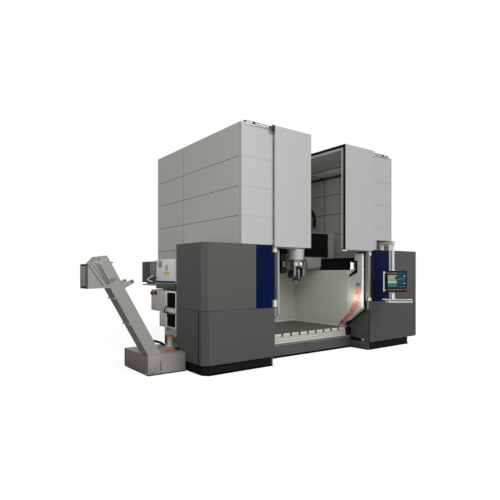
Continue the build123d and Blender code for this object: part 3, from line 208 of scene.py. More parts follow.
# %% Lacquer and glass
def clouded(name, low, high, scale, glows=False, **sockets):
    """A smooth material whose colour drifts between two hex colours."""
    material, shader = start_material(name, **sockets)
    place = add(material, "ShaderNodeTexCoord").outputs["Object"]
    drift = add(material, "ShaderNodeTexNoise", {"Vector": place, "Scale": scale}).outputs[0]
    tones = {0: drift, 6: linear(low), 7: linear(high)}
    tone = add(material, "ShaderNodeMix", tones, data_type="RGBA").outputs[2]
    feed(shader, Base_Color=tone)
    if glows:
        feed(shader, Emission_Color=tone)
    return material


lacquer = {"Roughness": 0.4, "Specular_IOR_Level": 0.05, "Coat_Weight": 0.03, "Coat_Roughness": 0.05}
blue_lacquer = clouded("deep_blue_lacquer", "#00082A", "#001640", scale=0.9, **lacquer)
pane = {"Roughness": 0.03, "IOR": 1.5, "Transmission_Weight": 0.85}
pane_glass = clouded("laminated_safety_glass", "#8FB2C4", "#A9C6D4", scale=0.8, **pane)
screen_glass = clouded("display_glass", "#06121F", "#0A1C30", scale=4.0, Roughness=0.12)
lamp = {"Roughness": 0.4, "Emission_Strength": 1.5}
lamp_glass = clouded("frosted_lamp_glass", "#E8EAE6", "#FFFFFF", scale=40.0, glows=True, **lamp)
print("lacquer and glass made")

# %% [markdown]
# ## Ground and machined metal
# Machined steel shows the direction of the tool. Noise that is stretched sixty to one along that
# direction, fed to the roughness and the bump, breaks a reflection into fine lines. The same recipe does
# for ground steel, anodised aluminium and the oily cast iron of the table, with other colours and scales.


# %% Machined metal recipe
def machined(name, colour, roughness=0.3, spread=0.12, line_mm=2.0, along=(1, 60, 60), metallic=1.0):
    """Metal with fine lines from grinding or milling. The small number in along is the lines' direction."""
    material, shader = start_material(name, Metallic=metallic)
    place = add(material, "ShaderNodeTexCoord").outputs["Object"]
    lines = add(material, "ShaderNodeMapping", {"Vector": place, "Scale": along}).outputs[0]
    pattern = {"Vector": lines, "Scale": 1000 / line_mm / 60, "Detail": 4.0}
    grain = add(material, "ShaderNodeTexNoise", pattern).outputs[0]
    limits = {"Value": grain, "To Min": roughness - spread, "To Max": roughness + spread}
    rough = add(material, "ShaderNodeMapRange", limits)
    tones = {0: grain, 6: shaded(colour, 0.85), 7: linear(colour)}
    tone = add(material, "ShaderNodeMix", tones, data_type="RGBA")
    ridges = add(material, "ShaderNodeBump", {"Height": grain, "Strength": 0.15, "Distance": 0.0006})
    feed(shader, Base_Color=tone.outputs[2], Roughness=rough.outputs[0], Normal=ridges.outputs[0])
    return material


ground_steel = machined("ground_steel", "#C9C9C6")
anodised = machined("anodised_aluminium", "#CFCFCD", roughness=0.42)
table_iron = machined(
    "ground_cast_iron", "#75746A", roughness=0.5, spread=0.1, along=(60, 1, 60), metallic=0.4
)
belt_steel = machined("belt_steel", "#57564F", roughness=0.5)
raw_iron = machined("raw_cast_iron", "#3A3A39", roughness=0.6)
# Paler than the table's own iron: milled, and partly painted highlight of the lit front face.
milled_iron_lit = machined(
    "milled_cast_iron_painted_highlight", "#D2D2C8", roughness=0.5, spread=0.1, line_mm=20, metallic=0.2
)
print("metals made")

# %% [markdown]
# ## Rubber, cloth and moulded plastic
# These are dark and dull. What tells them apart is the grain: rubber is almost smooth, coated cloth has a
# weave of about a millimetre, and a moulded case has a sparkle-fine texture from its tool.


# %% Moulded plastic and rubber recipe
def moulded(name, colour, roughness=0.5, grain_mm=3.0, grain=0.15, sheen=0.5):
    """Moulded plastic or rubber with a fine tool texture."""
    material, shader = start_material(name, Roughness=roughness, Specular_IOR_Level=sheen)
    place = add(material, "ShaderNodeTexCoord").outputs["Object"]
    cells = add(material, "ShaderNodeTexVoronoi", {"Vector": place, "Scale": 1000 / grain_mm}).outputs[0]
    tones = {0: cells, 6: shaded(colour, 0.9), 7: linear(colour)}
    tone = add(material, "ShaderNodeMix", tones, data_type="RGBA")
    dimples = add(material, "ShaderNodeBump", {"Height": cells, "Strength": grain, "Distance": 0.0004})
    feed(shader, Base_Color=tone.outputs[2], Normal=dimples.outputs[0])
    return material


black_rubber = moulded("black_rubber", "#0D0D0D", roughness=0.65, sheen=0.2)
bellows_cloth = moulded("coated_bellows_cloth", "#060606", roughness=0.6, grain_mm=4, grain=0.3, sheen=0.1)
black_plastic = moulded("black_polycarbonate", "#0F0F0F", roughness=0.4, sheen=0.25)
grille_black = moulded("black_nylon", "#050505", roughness=0.7, sheen=0.05)
knob_red = moulded("dark_red_abs", "#5E1512", roughness=0.4)
red_plastic = moulded("red_abs", "#A81A18", roughness=0.35)
grey_plastic = moulded("grey_abs", "#8C8C88", roughness=0.45)
white_plastic = moulded("white_polyethylene", "#DCDCD4", roughness=0.45)
yellow_plastic = moulded("yellow_label_film", "#E3B52E", roughness=0.4)
cutter_black = moulded("black_nitride", "#121214", roughness=0.3)
port_red = moulded("red_polypropylene", "#C8573F", roughness=0.35)
pale_pink = moulded("pink_polyethylene", "#D9A79C", roughness=0.45)
switch_pink = moulded("faded_red_abs", "#B07F76", roughness=0.45)
label_grey = moulded("grey_label_film", "#8E95A3", roughness=0.4)
label_brown = moulded("brown_label_film", "#7A7460", roughness=0.5)
print("plastics made")

# %% [markdown]
# ## Coiled polyurethane
# The air hose is a translucent orange polyurethane tube, wound hot so that it springs back. Some light passes
# through its wall, which subsurface scattering gives. Its colour runs from a red at the gun to a pale orange
# at the hook, along the height: the paler top, where it hangs near the lamp, is painted lamp light.

# %% Hose material
hose_plastic, shader = start_material(
    "orange_polyurethane", Roughness=0.28, Subsurface_Weight=0.2, Subsurface_Scale=0.01
)
place = add(hose_plastic, "ShaderNodeTexCoord").outputs["Object"]
ageing = add(hose_plastic, "ShaderNodeTexNoise", {"Vector": place, "Scale": 5.0}).outputs[0]
height = add(hose_plastic, "ShaderNodeSeparateXYZ", {"Vector": place}).outputs["Z"]
# Paler towards the top, where the hose hangs near the lamp: painted lamp light.
lamp_light_share = add(hose_plastic, "ShaderNodeMapRange", {"Value": height, "From Min": 0.60, "From Max": 1.20})
tones = {0: ageing, 6: linear("#DE1F2C"), 7: linear("#F0473A")}
hose_red = add(hose_plastic, "ShaderNodeMix", tones, data_type="RGBA").outputs[2]
tones = {0: ageing, 6: linear("#F3A077"), 7: linear("#FBCBA8")}
lamp_lit_orange = add(hose_plastic, "ShaderNodeMix", tones, data_type="RGBA").outputs[2]
tones = {0: lamp_light_share.outputs[0], 6: hose_red, 7: lamp_lit_orange}
feed(shader, Base_Color=add(hose_plastic, "ShaderNodeMix", tones, data_type="RGBA").outputs[2])
print("hose material made")

# %% [markdown]
# ## Finish every solid
# A solid whose shape is right keeps its mesh and only gets its material. The mesh itself is never touched,
# because the physics model uses the same one.

# %% Give the solids their materials
finishes = [
    (raw_iron, "levelling_feet"),
    (base_coat, "base_frame", "aprons"),
    (table_iron, "work_table"),
    (casting_coat, "left_shoulder", "right_shoulder", "crossbeam"),
    (liner_enamel, "cell_liner"),
    (wall_coat, "left_side_wall", "right_side_wall", "back_wall", "fixed_roof"),
    (front_coat, "front_panels", "left_roof_door", "right_roof_door"),
    (anodised, "door_cylinders"),
    (cabinet_coat, "left_console_lower", "right_console_lower"),
    (console_coat, "left_console_upper", "right_console_upper", "cabinet_door"),
    (blue_lacquer, "blue_panels"),
    (plinth_coat, "plinths"),
    (pendant_coat, "door_brackets", "pendant_base", "pendant_arm", "keyboard_tray"),
    (lamp_glass, "work_lamps"),
    (head_coat, "saddle", "ram"),
    (black_plastic, "accumulator", "pendant_panel", "valve_knob"),
    (ground_steel, "fork_head", "spindle_nose", "hose_hook", "conveyor_drum"),
    (cutter_black, "spindle_housing"),
    (door_coat, "left_front_door", "right_front_door"),
    (pane_glass, "left_door_window", "right_door_window"),
    (screen_glass, "pendant_screen"),
    (red_plastic, "stop_button", "air_gun"),
    (tank_coat, "conveyor_tank"),
    (white_plastic, "tank_fittings"),
    (conveyor_coat, "conveyor_trunk"),
    (belt_steel, "conveyor_belt"),
    (unit_coat, "supply_unit"),
    (unit_dark_coat, "filter_unit"),
    (cabinet_side_coat, "side_cabinets"),
    (grille_black, "louvre_grilles"),
    (knob_red, "main_switch_knob"),
    (bellows_cloth, "y_bellows_front", "y_bellows_rear", "x_bellows_left", "x_bellows_right"),
]
for material, *names in finishes:
    for name in names:
        mesh = nodes[name].data
        mesh.materials.clear()
        mesh.materials.append(material)
print(sum(len(row) - 1 for row in finishes), "solids finished")

# %% [markdown]
# ## Bench helpers
# Nearly every small piece below is a box, a round bar, a turned shape or a flat outline that is pushed to
# a thickness. One helper makes each of them in a bmesh, with Blender's own operators. Another turns the
# finished bmesh into an object that sits at the origin, has its normals outward and moves with a body of
# the machine. The helper called build does both: it takes a name, a material and a list of shapes.


# %% Helpers that make shapes
def rounded(bm, edges, width):
    """Rounds edges over a width."""
    bmesh.ops.bevel(bm, geom=edges, offset=width, segments=2, affect="EDGES", profile=0.5, material=-1)


def slab(bm, one, other, bevel=0.0):
    """A box between two opposite corners, with rounded edges if a bevel is given."""
    low, high = Vector(map(min, one, other)), Vector(map(max, one, other))
    place = Matrix.Translation((low + high) / 2) @ Matrix.Diagonal((*(high - low), 1))
    made = bmesh.ops.create_cube(bm, size=1, matrix=place)
    if bevel:
        rounded(bm, list(dict.fromkeys(edge for vert in made["verts"] for edge in vert.link_edges)), bevel)


def bar(bm, start, end, radius, steps=20, bevel=0.0, tip=None):
    """A round bar between two points, or a cone where the tip has its own radius."""
    start, end = Vector(start), Vector(end)
    turn = (end - start).to_track_quat("Z", "Y").to_matrix().to_4x4()
    made = bmesh.ops.create_cone(
        bm,
        cap_ends=True,
        segments=steps,
        radius1=radius,
        radius2=radius if tip is None else tip,
        depth=(end - start).length,
        matrix=Matrix.Translation((start + end) / 2) @ turn,
    )
    if bevel:
        edges = dict.fromkeys(edge for vert in made["verts"] for edge in vert.link_edges)
        rims = [edge for edge in edges if any(len(face.verts) > 4 for face in edge.link_faces)]
        rounded(bm, rims, bevel)


def turned(bm, outline, place, steps=32):
    """A turned shape: an outline of radius and height pairs, spun about the local z of a place."""
    verts = [bm.verts.new((radius, 0, height)) for radius, height in outline]
    edges = [bm.edges.new(pair) for pair in zip(verts, verts[1:])]
    before = {vert for vert in bm.verts if vert not in verts}
    bmesh.ops.spin(
        bm, geom=verts + edges, cent=(0, 0, 0), axis=(0, 0, 1), angle=math.tau, steps=steps, use_merge=True
    )
    made = [vert for vert in bm.verts if vert not in before]
    bmesh.ops.remove_doubles(bm, verts=made, dist=0.00001)
    made = [vert for vert in bm.verts if vert not in before]
    bmesh.ops.transform(bm, matrix=place, verts=made)


def prism(bm, corners, offset):
    """A flat outline pushed along an offset."""
    face = bm.faces.new([bm.verts.new(corner) for corner in corners])
    pushed = bmesh.ops.extrude_face_region(bm, geom=[face])
    moved = [item for item in pushed["geom"] if isinstance(item, bmesh.types.BMVert)]
    bmesh.ops.translate(bm, vec=offset, verts=moved)


def merge(bm, place, *shapes):
    """Adds shapes to a bmesh after moving them, as a group, to a place."""
    group = bmesh.new()
    for make, *sizes in shapes:
        make(group, *sizes)
    bmesh.ops.transform(group, matrix=place, verts=group.verts)
    mesh = bpy.data.meshes.new("group")
    group.to_mesh(mesh)
    group.free()
    bm.from_mesh(mesh)
    bpy.data.meshes.remove(mesh)


print("shapes: slab, bar, turned, prism")


# %% Helpers that finish pieces
def piece(name, bm, material, body="machine", place=None):
    """Turns a bmesh into a finished piece that moves with a body."""
    if place:
        bmesh.ops.transform(bm, matrix=place, verts=bm.verts)
    bmesh.ops.recalc_face_normals(bm, faces=bm.faces)
    for face in bm.faces:
        face.smooth = True
    mesh = bpy.data.meshes.new(name)
    bm.to_mesh(mesh)
    bm.free()
    mesh.set_sharp_from_angle(angle=math.radians(35))
    mesh.materials.append(material)
    made = show(name, mesh)
    if body:
        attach(made, body)
    return made


def build(name, material, *shapes, body="machine", place=None):
    """A finished piece from shapes. A shape is its helper's name, then what that helper takes."""
    bm = bmesh.new()
    for make, *sizes in shapes:
        make(bm, *sizes)
    return piece(name, bm, material, body, place)


print("pieces can be finished")


# %% Helpers for curves and pipes
def nurbs(name, points, resolution=12):
    """A smooth curve that starts and ends at its first and last points."""
    curve = bpy.data.curves.new(name, "CURVE")
    curve.dimensions = "3D"
    spline = curve.splines.new("NURBS")
    spline.points.add(len(points) - 1)
    for control, point in zip(spline.points, points):
        control.co = (*point, 1)
    spline.order_u = 3
    spline.use_endpoint_u = True
    spline.resolution_u = resolution
    return show(name, curve)


def fill_out(route, radius):
    """Gives a curve the round section of a tube with closed ends."""
    route.data.bevel_depth = radius
    route.data.bevel_resolution = 3
    route.data.use_fill_caps = True


def pipe(name, points, radius, material, body="machine"):
    """A fixed pipe or clipped cable along a smooth line, made into a mesh."""
    route = nurbs(name + "_line", points)
    fill_out(route, radius)
    mesh = bpy.data.meshes.new_from_object(route)
    mesh.name = name
    bpy.data.objects.remove(route)
    mesh.materials.clear()
    mesh.materials.append(material)
    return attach(show(name, mesh), body)


print("curves and pipes ready")

# %% [markdown]
# ## Coiled air hose
# The blow gun hangs on a hose that was wound into a spring. A helix is easiest to make as a walk: follow
# the middle line of the hanging hose in small steps, turn a side arrow around it as the steps go, and put
# a point at the end of that arrow. Carrying the arrow along with the line, instead of working it out anew
# at each step, keeps the coil from twisting where the line bends. The line itself is a NURBS curve through
# the hose's five route points, read back as a fine chain of points.

# %% The middle line of the hose
hose_route = [
    (1.043, -1.400, 1.305),
    (1.037, -1.375, 1.060),
    (1.031, -1.285, 0.840),
    (1.035, -1.140, 0.690),
    (1.040, -0.990, 0.560),
]
hose_tube = 0.012
coil_top_radius = 0.058
coil_end_radius = 0.026
coil_pitch = 0.036
points_per_turn = 16
opening_turns = 0.75
route = nurbs("hose_middle_line", hose_route, resolution=40)
line = [vert.co.copy() for vert in bpy.data.meshes.new_from_object(route).vertices]
bpy.data.objects.remove(route)

lengths = [0.0]
for before, after in zip(line, line[1:]):
    lengths.append(lengths[-1] + (after - before).length)
steps = round(lengths[-1] / coil_pitch * points_per_turn)
print("middle line of the hose:", round(lengths[-1], 2), "m,", steps, "steps")

# %% Wind the coil around it
coil = []
arrow = Vector((1, 0, 0))
heading = (line[1] - line[0]).normalized()
at = 0
for step in range(steps + 1):
    gone = lengths[-1] * step / steps
    while at < len(line) - 2 and lengths[at + 1] < gone:
        at += 1
    middle = line[at].lerp(line[at + 1], (gone - lengths[at]) / (lengths[at + 1] - lengths[at]))
    ahead = (line[at + 1] - line[at]).normalized()
    arrow = heading.rotation_difference(ahead) @ arrow
    arrow = (arrow - ahead * arrow.dot(ahead)).normalized()
    heading = ahead
    share = step / steps
    open_up = min(1, step / points_per_turn / opening_turns, (steps - step) / points_per_turn / opening_turns)
    radius = (coil_top_radius * (1 - share) + coil_end_radius * share) * open_up
    turn = Matrix.Rotation(math.tau * step / points_per_turn, 3, ahead)
    coil.append(middle + turn @ arrow * radius)
print("coil of", len(coil), "points")

# %% Make the hose a cord
hose = nurbs("air_hose_coil", coil, resolution=2)
fill_out(hose, hose_tube / 2)
hose.data.materials.append(hose_plastic)
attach(hose, "machine")
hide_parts("air_hose")
sleeve = (bar, (1.040, -0.990, 0.577), (1.040, -0.966, 0.535), 0.026, 24, 0.006)
build("air_gun_sleeve", red_plastic, sleeve)

# %% [markdown]
# ## Pleated way covers
# Bellows keep chips off the guideways. Each one is a U of coated cloth over its rails, folded into pleats.
# One fold line is drawn, and extruded edge by edge along the way: every second step is scaled a little
# towards the rails, which makes the valley of a pleat. The open sheet then gets the thickness of cloth.
# A cover joins two bodies, so it rides on neither: it stays where it is made.


# %% How a way cover is folded
def way_cover(name, corners, travel, folds, valley, centre):
    """A pleated U along a travel. The valley is a scale about the centre for every second fold line."""
    bm = bmesh.new()
    verts = [bm.verts.new(corner) for corner in corners]
    edges = [bm.edges.new(pair) for pair in zip(verts, verts[1:])]
    about = Matrix.Translation(-Vector(centre))
    step = Vector(travel) / (2 * folds)
    for fold in range(2 * folds):
        grown = bmesh.ops.extrude_edge_only(bm, edges=edges)["geom"]
        verts = [item for item in grown if isinstance(item, bmesh.types.BMVert)]
        edges = [item for item in grown if isinstance(item, bmesh.types.BMEdge)]
        bmesh.ops.translate(bm, vec=step, verts=verts)
        scale = valley if fold % 2 == 0 else [1 / share for share in valley]
        bmesh.ops.scale(bm, vec=scale, space=about, verts=verts)
    bmesh.ops.recalc_face_normals(bm, faces=bm.faces)
    bmesh.ops.solidify(bm, geom=bm.faces[:], thickness=cloth_thickness)
    cover = piece(name, bm, bellows_cloth, body=None)
    for polygon in cover.data.polygons:
        polygon.use_smooth = False
    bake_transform(cover)
    return cover


cloth_thickness = 0.0012
cover_inner, cover_outer = 1.120, 1.788
cover_foot, cover_crown = 1.642, 1.899
corner = 0.045
y_pleat, x_pleat = 0.03, 0.034
print("fold recipe ready")

# %% Fold the six way covers
for side, label in ((-1, "left"), (1, "right")):
    for start, end, replaced in ((-1.118, -0.252, "y_bellows_front"), (1.418, 0.292, "y_bellows_rear")):
        section = [
            (side * cover_inner, start, cover_foot),
            (side * cover_inner, start, cover_crown - corner),
            (side * (cover_inner + corner), start, cover_crown),
            (side * (cover_outer - corner), start, cover_crown),
            (side * cover_outer, start, cover_crown - corner),
            (side * cover_outer, start, cover_foot),
        ]
        cover = way_cover(
            f"{replaced}_{label}_pleats",
            section,
            travel=(0, end - start, 0),
            folds=round(abs(end - start) / y_pleat),
            valley=(0.95, 1, 0.92),
            centre=(side * (cover_inner + cover_outer) / 2, 0, cover_foot),
        )
        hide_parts(replaced)
for label, start, end in (("left", -1.314, -0.3245), ("right", 1.314, 0.5365)):
    cover = way_cover(
        f"x_cover_{label}_pleats",
        [(start, -0.292, 1.938), (start, -0.318, 1.938), (start, -0.318, 2.457), (start, -0.292, 2.457)],
        travel=(end - start, 0, 0),
        folds=round(abs(end - start) / x_pleat),
        valley=(1, 0.78, 0.97),
        centre=(0, -0.24, 2.1975),
    )
    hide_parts(f"x_bellows_{label}")
print("six way covers folded")

# %% [markdown]
# ## Joints and edges of the enclosure
# The walls are panels in a frame. A dark rubber joint lies in every seam, and a light angle profile covers
# each corner; these lines are what makes the tall plain box read as sheet metal. Through the crane slot
# the inside shows too, so its walls get wider joints and its ceiling pale panels between dark beams.

# %% Rubber joints of the outer walls
wall_x, wall_y = 1.985, 1.52
joint_levels = [3.475, 2.995, 2.515, 2.035, 1.555]
bm = bmesh.new()
for side in (-1, 1):
    inside, outside = side * (wall_x - 0.004), side * (wall_x - 0.0005)
    for level in joint_levels:
        slab(bm, (inside, -1.47, level - 0.004), (outside, 1.51, level + 0.004))
    slab(bm, (inside, 0.387, 1.38), (outside, 0.395, 3.97))
for level in joint_levels:
    slab(bm, (-1.97, wall_y - 0.004, level - 0.004), (1.97, wall_y - 0.0005, level + 0.004))
piece("wall_joint_rubber", bm, black_rubber)
print("outer walls jointed")

# %% Joints and ceiling inside
inner_x, inner_y, ceiling = 1.945, 1.480, 3.940
joint_front, joint_back = inner_y - 0.0005, inner_y + 0.003
corner_x, corner_y = inner_x - 0.01, inner_y - 0.01
bm = bmesh.new()
for side in (-1, 1):
    inside, outside = side * (inner_x - 0.0005), side * (inner_x + 0.003)
    for level in joint_levels[:3]:
        slab(bm, (inside, -1.40, level - 0.007), (outside, corner_y, level + 0.007))
    slab(bm, (inside, 0.384, 2.05), (outside, 0.398, 3.92))
for level in joint_levels[:3]:
    slab(bm, (-corner_x, joint_front, level - 0.007), (corner_x, joint_back, level + 0.007))
for x in (-0.97, 0, 0.97):
    slab(bm, (x - 0.006, joint_front, 2.05), (x + 0.006, joint_back, 3.92))
piece("inner_joint_rubber", bm, unit_dark_coat)

panels, beams = bmesh.new(), bmesh.new()
for side in (-1, 1):
    near, far = side * 1.40, side * (inner_x - 0.006)
    slab(panels, (near, -1.44, ceiling - 0.024), (far, corner_y, ceiling - 0.020), 0.001)
    slab(beams, (near, 0.375, ceiling - 0.040), (far, 0.405, ceiling - 0.024))
    near, far = side * (inner_x - 0.030), side * (inner_x - 0.001)
    slab(beams, (near, -1.44, ceiling - 0.075), (far, corner_y, ceiling - 0.020))
piece("ceiling_panels", panels, trim_white)
piece("ceiling_beams", beams, unit_dark_coat)
print("inside walls and ceiling dressed")

# %% Corner profiles
bm = bmesh.new()
leg, sheet = 0.022, 0.0016
for side in (-1, 1):
    for front, foot in ((-1, 2.062), (1, 1.372)):
        outer_x, outer_y = side * (wall_x + sheet), front * (wall_y + (sheet if front < 0 else 0))
        slab(bm, (outer_x, outer_y, foot), (side * (wall_x - leg), front * (wall_y - 0.004), 4.02))
        slab(bm, (outer_x, front * wall_y, foot), (side * wall_x, front * (wall_y - leg * 0.5), 4.02))
piece("corner_profiles", bm, conveyor_coat)
print("corner profiles on")

# %% [markdown]
# ## Roof doors
# The two roof doors are L-shaped leaves that meet over the crane slot. Their meeting edges carry a black
# bulb seal on a light profile, and a brush closes the gap behind the leaf at its outer edge. A pale catch
# hangs below the right leaf.

# %% Seals, profiles and brushes of the roof doors
leaf_front, leaf_back = -1.576, -1.540
leaf_foot, leaf_crown = 2.030, 4.070
fold = leaf_crown - 0.056
meeting, outer_edge = 0.464, 1.304
for side, body in ((-1, "left_roof_door"), (1, "right_roof_door")):
    near, far = side * (meeting - 0.0085), side * meeting
    build(
        f"{body}_bulb_seal",
        black_rubber,
        (slab, (near, leaf_front + 0.004, leaf_foot + 0.002), (far, leaf_back, leaf_crown - 0.001), 0.003),
        (slab, (near, leaf_back, leaf_foot + 0.002), (far, leaf_back + 0.020, fold), 0.003),
        (slab, (near, leaf_back, fold), (far, 0.380, leaf_crown - 0.001), 0.003),
        body=body,
    )
    near, far = side * (meeting - 0.004), side * (meeting + 0.030)
    knee = leaf_back + 0.072
    build(
        f"{body}_seal_profile",
        front_coat,
        (slab, (near, leaf_back + 0.020, leaf_foot + 0.03), (far, knee, leaf_crown - 0.057), 0.002),
        (slab, (near, knee, leaf_crown - 0.104), (far, 0.285, leaf_crown - 0.057), 0.002),
        body=body,
    )
    near, far = side * (outer_edge - 0.016), side * (outer_edge - 0.002)
    brush = (slab, (near, leaf_back, leaf_foot + 0.02), (far, leaf_back + 0.018, 3.95))
    build(f"{body}_brush", black_rubber, brush, body=body)

catch = (slab, (0.396, -1.566, leaf_foot - 0.026), (0.52, -1.546, leaf_foot - 0.001), 0.004)
build("roof_door_catch", trim_white, catch, body="right_roof_door")
print("roof doors sealed")

# %% [markdown]
# ## Cylinders that move the roof doors
# A pneumatic cylinder lies on the front edge on each side. Its drawn tube is the plain solid; the black
# end caps, the tie rods, the rod lock, the guide rail in front of it and the black stop at the leaf's
# upper corner are added here.

# %% End caps, tie rods and guide rails
caps = ((1.308, 1.378), (1.684, 1.728))
rods = ((-1.510, 4.0600), (-1.470, 4.0600), (-1.514, 4.026))
for side, label in ((-1, "left"), (1, "right")):
    pair = [(slab, (side * near, -1.518, 4.012), (side * far, -1.462, 4.068), 0.003) for near, far in caps]
    build(f"{label}_cylinder_caps", black_plastic, *pair)
    rod_lock = (slab, (side * 1.862, -1.512, 4.024), (side * 1.896, -1.468, 4.062), 0.003)
    build(f"{label}_cylinder_end", conveyor_coat, rod_lock)
    near, far = side * 1.378, side * 1.862
    tie_rods = [(bar, (near, y, z), (far, y, z), 0.005, 8) for y, z in rods]
    build(f"{label}_cylinder_tie_rods", raw_iron, *tie_rods)
    rail = (slab, (side * 1.356, -1.532, 3.996), (side * 1.93, -1.5205, 4.008), 0.002)
    build(f"{label}_roof_guide_rail", anodised, rail)
end_stop = (slab, (-1.316, -1.5860, 3.955), (-1.378, -1.5762, 4.066), 0.002)
build("left_roof_door_end_stop", black_plastic, end_stop, body="left_roof_door")
print("cylinders dressed")

# %% [markdown]
# ## Work table
# Between the T-slots the table carries rows of threaded bushes for clamping studs. Each is a steel ring
# around a dark hole, set flush. A ring and a dark disc a few tenths of a millimetre proud read as a hole at
# this distance, and leave the table's own solid untouched; the disc's black is painted shade of the hole. The
# front face carries a milled land: short teeth between the mouths of the slots, and long grooves below them.
# The land is painted much paler than the table's top: partly milled iron, partly painted highlight of the lit
# front face.

# %% Rows of threaded bushes
table_top = 0.440
slot_pitch = 0.22
rings, holes = bmesh.new(), bmesh.new()
for column in range(-5, 5):
    for offset in (0.055, 0.165):
        x = slot_pitch * column + offset
        for row in range(14):
            y = -0.96 + 0.11 * row
            bar(rings, (x, y, table_top - 0.002), (x, y, table_top + 0.0004), 0.015, 14)
            bar(holes, (x, y, table_top), (x, y, table_top + 0.0008), 0.010, 12)
piece("bush_rings", rings, belt_steel)
# The black discs are painted shade of the holes.
piece("bush_holes", holes, black_plastic)
print("bushes set")

# %% Milled land on the table's front
table_front, table_foot = -1.020, 0.262
land_end, slot_mouth = 1.104, 0.026
sill_end = 1.266
bm = bmesh.new()
for low, high in ((table_foot, 0.292), (0.297, 0.318), (0.323, 0.352), (0.357, 0.370), (0.375, 0.386)):
    slab(bm, (-land_end, table_front - 0.0015, low), (land_end, table_front, high), 0.0003)
for column in range(-5, 5):
    left = max(-land_end, slot_pitch * column + slot_mouth)
    right = min(land_end, slot_pitch * (column + 1) - slot_mouth)
    slab(bm, (left, table_front - 0.0015, 0.389), (right, table_front, table_top + 0.0003), 0.0004)
    tooth_back = (right, table_front + 0.028, table_top + 0.0006)
    slab(bm, (left, table_front - 0.001, table_top - 0.001), tooth_back, 0.0003)
# The land's pale iron is partly painted highlight.
piece("table_front_land", bm, milled_iron_lit)
print("front land milled")

# %% Shields, lip and painted shadow at the foot
bm = bmesh.new()
for side in (-1, 1):
    near, far = side * 1.106, side * sill_end
    slab(bm, (near, table_front - 0.004, table_foot), (far, table_front - 0.0005, table_top))
piece("table_end_shields", bm, plinth_coat)
lip = (slab, (-sill_end, table_front - 0.002, 0.228), (sill_end, table_front, 0.240), 0.0005)
build("base_lip", conveyor_coat, lip)
# Black strips at the floor along the base's front and at the sill plates' feet are painted contact shadow.
build(
    "base_foot_painted_shadow",
    grille_black,
    (slab, (-sill_end, table_front + 0.004, 0.0005), (sill_end, table_front + 0.030, 0.042)),
    *[(slab, (side * 1.268, -1.4725, 0.0005), (side * 1.306, -0.998, 0.022)) for side in (-1, 1)],
)
print("table's front finished")

# %% [markdown]
# ## Cell edges and lamps
# Inside the doorway thin edge angles cover the liner's corners, and a folded flange frames the opening: it
# runs down beside the front door and then back along the slope of the door's skirt, just clear of it. The two
# flanges are painted in two tones for light: the left one mid grey as painted shade, the right one white as
# painted highlight. The two tube lamps stand in black frames at the liner's front edge, with a bracket below
# that reaches back.

# %% Liner edges
bm = bmesh.new()
for side in (-1, 1):
    near, far = side * 1.1035, side * 1.105
    slab(bm, (near, -1.112, 0.62), (far, -1.084, 1.636))
    slab(bm, (near, -0.95, 0.445), (far, 0.55, 0.475))
slab(bm, (-1.10, 0.5585, 0.445), (1.10, 0.560, 0.475))
piece("liner_edge_angles", bm, trim_white)
print("liner edges covered")

# %% Doorway flanges
skirt_profile = ((-1.449, 0.860), (-1.446, 0.864), (-1.071, 0.583), (-1.074, 0.579))
# The left flange's grey is painted shade, the right flange's white is painted highlight.
for label, left, right, skirt_right, coat in (
    ("left", -1.146, -1.1165, -1.1165, conveyor_coat),
    ("right", 1.1165, 1.163, 1.250, trim_white),
):
    build(
        f"{label}_doorway_flange",
        coat,
        (slab, (left, -1.449, 0.860), (right, -1.444, 1.975), 0.001),
        (prism, [(left, y, z) for y, z in skirt_profile], (skirt_right - left, 0, 0)),
    )
print("doorway framed")

# %% Lamp frames and stays
lamp_y = -1.16
stay_profile = ((-1.335, 1.626), (-1.255, 1.630), (-1.115, 1.522), (-1.130, 1.496), (-1.335, 1.590))
for side, label in ((-1, "left"), (1, "right")):
    x = side * 1.149
    collars = [(bar, (x, lamp_y, z), (x, lamp_y, z + 0.022), 0.0235, 24, 0.003) for z in (1.641, 1.794)]
    build(f"{label}_lamp_frame", black_plastic, *collars)
    left, right = sorted((side * 1.094, side * 1.1052))
    build(
        f"{label}_lamp_stay",
        black_plastic,
        (slab, (left, -1.335, 1.600), (right, -1.276, 1.835), 0.002),
        (slab, (left, -1.335, 1.812), (right, -1.125, 1.835), 0.002),
        (prism, [(left, y, z) for y, z in stay_profile], (right - left, 0, 0)),
    )
print("lamps framed")

# %% [markdown]
# ## Fork head
# The head turns about two axes. Its arms end in round covers with a ring of cap screws, a flat round cover
# closes the front of the fork, and a black seal sits between the ram and the head. On the spindle between the
# arms a bright ground-steel strip stands in for the highlight on its round dark body, a painted highlight,
# and a ring of coolant nozzles surrounds its nose.


# %% Seal and arm covers
def circle(count, radius=1.0, shift=0.0):
    """Evenly spaced points of a circle, as cosine and sine pairs. The shift is a share of a step."""
    angles = [math.tau * (k + shift) / count for k in range(count)]
    return [(radius * math.cos(angle), radius * math.sin(angle)) for angle in angles]


ram_x, ram_y = 0.106, -0.57
tilt_z, front_z = 1.560, 1.735
ram_axis = Matrix.Translation((ram_x, ram_y, 0))
seal = [(0.1495, 1.8305), (0.1525, 1.8315), (0.1535, 1.838), (0.1525, 1.8455), (0.1495, 1.8465)]
build("ram_seal", black_rubber, (turned, seal + seal[:1], ram_axis, 48), body="ram")

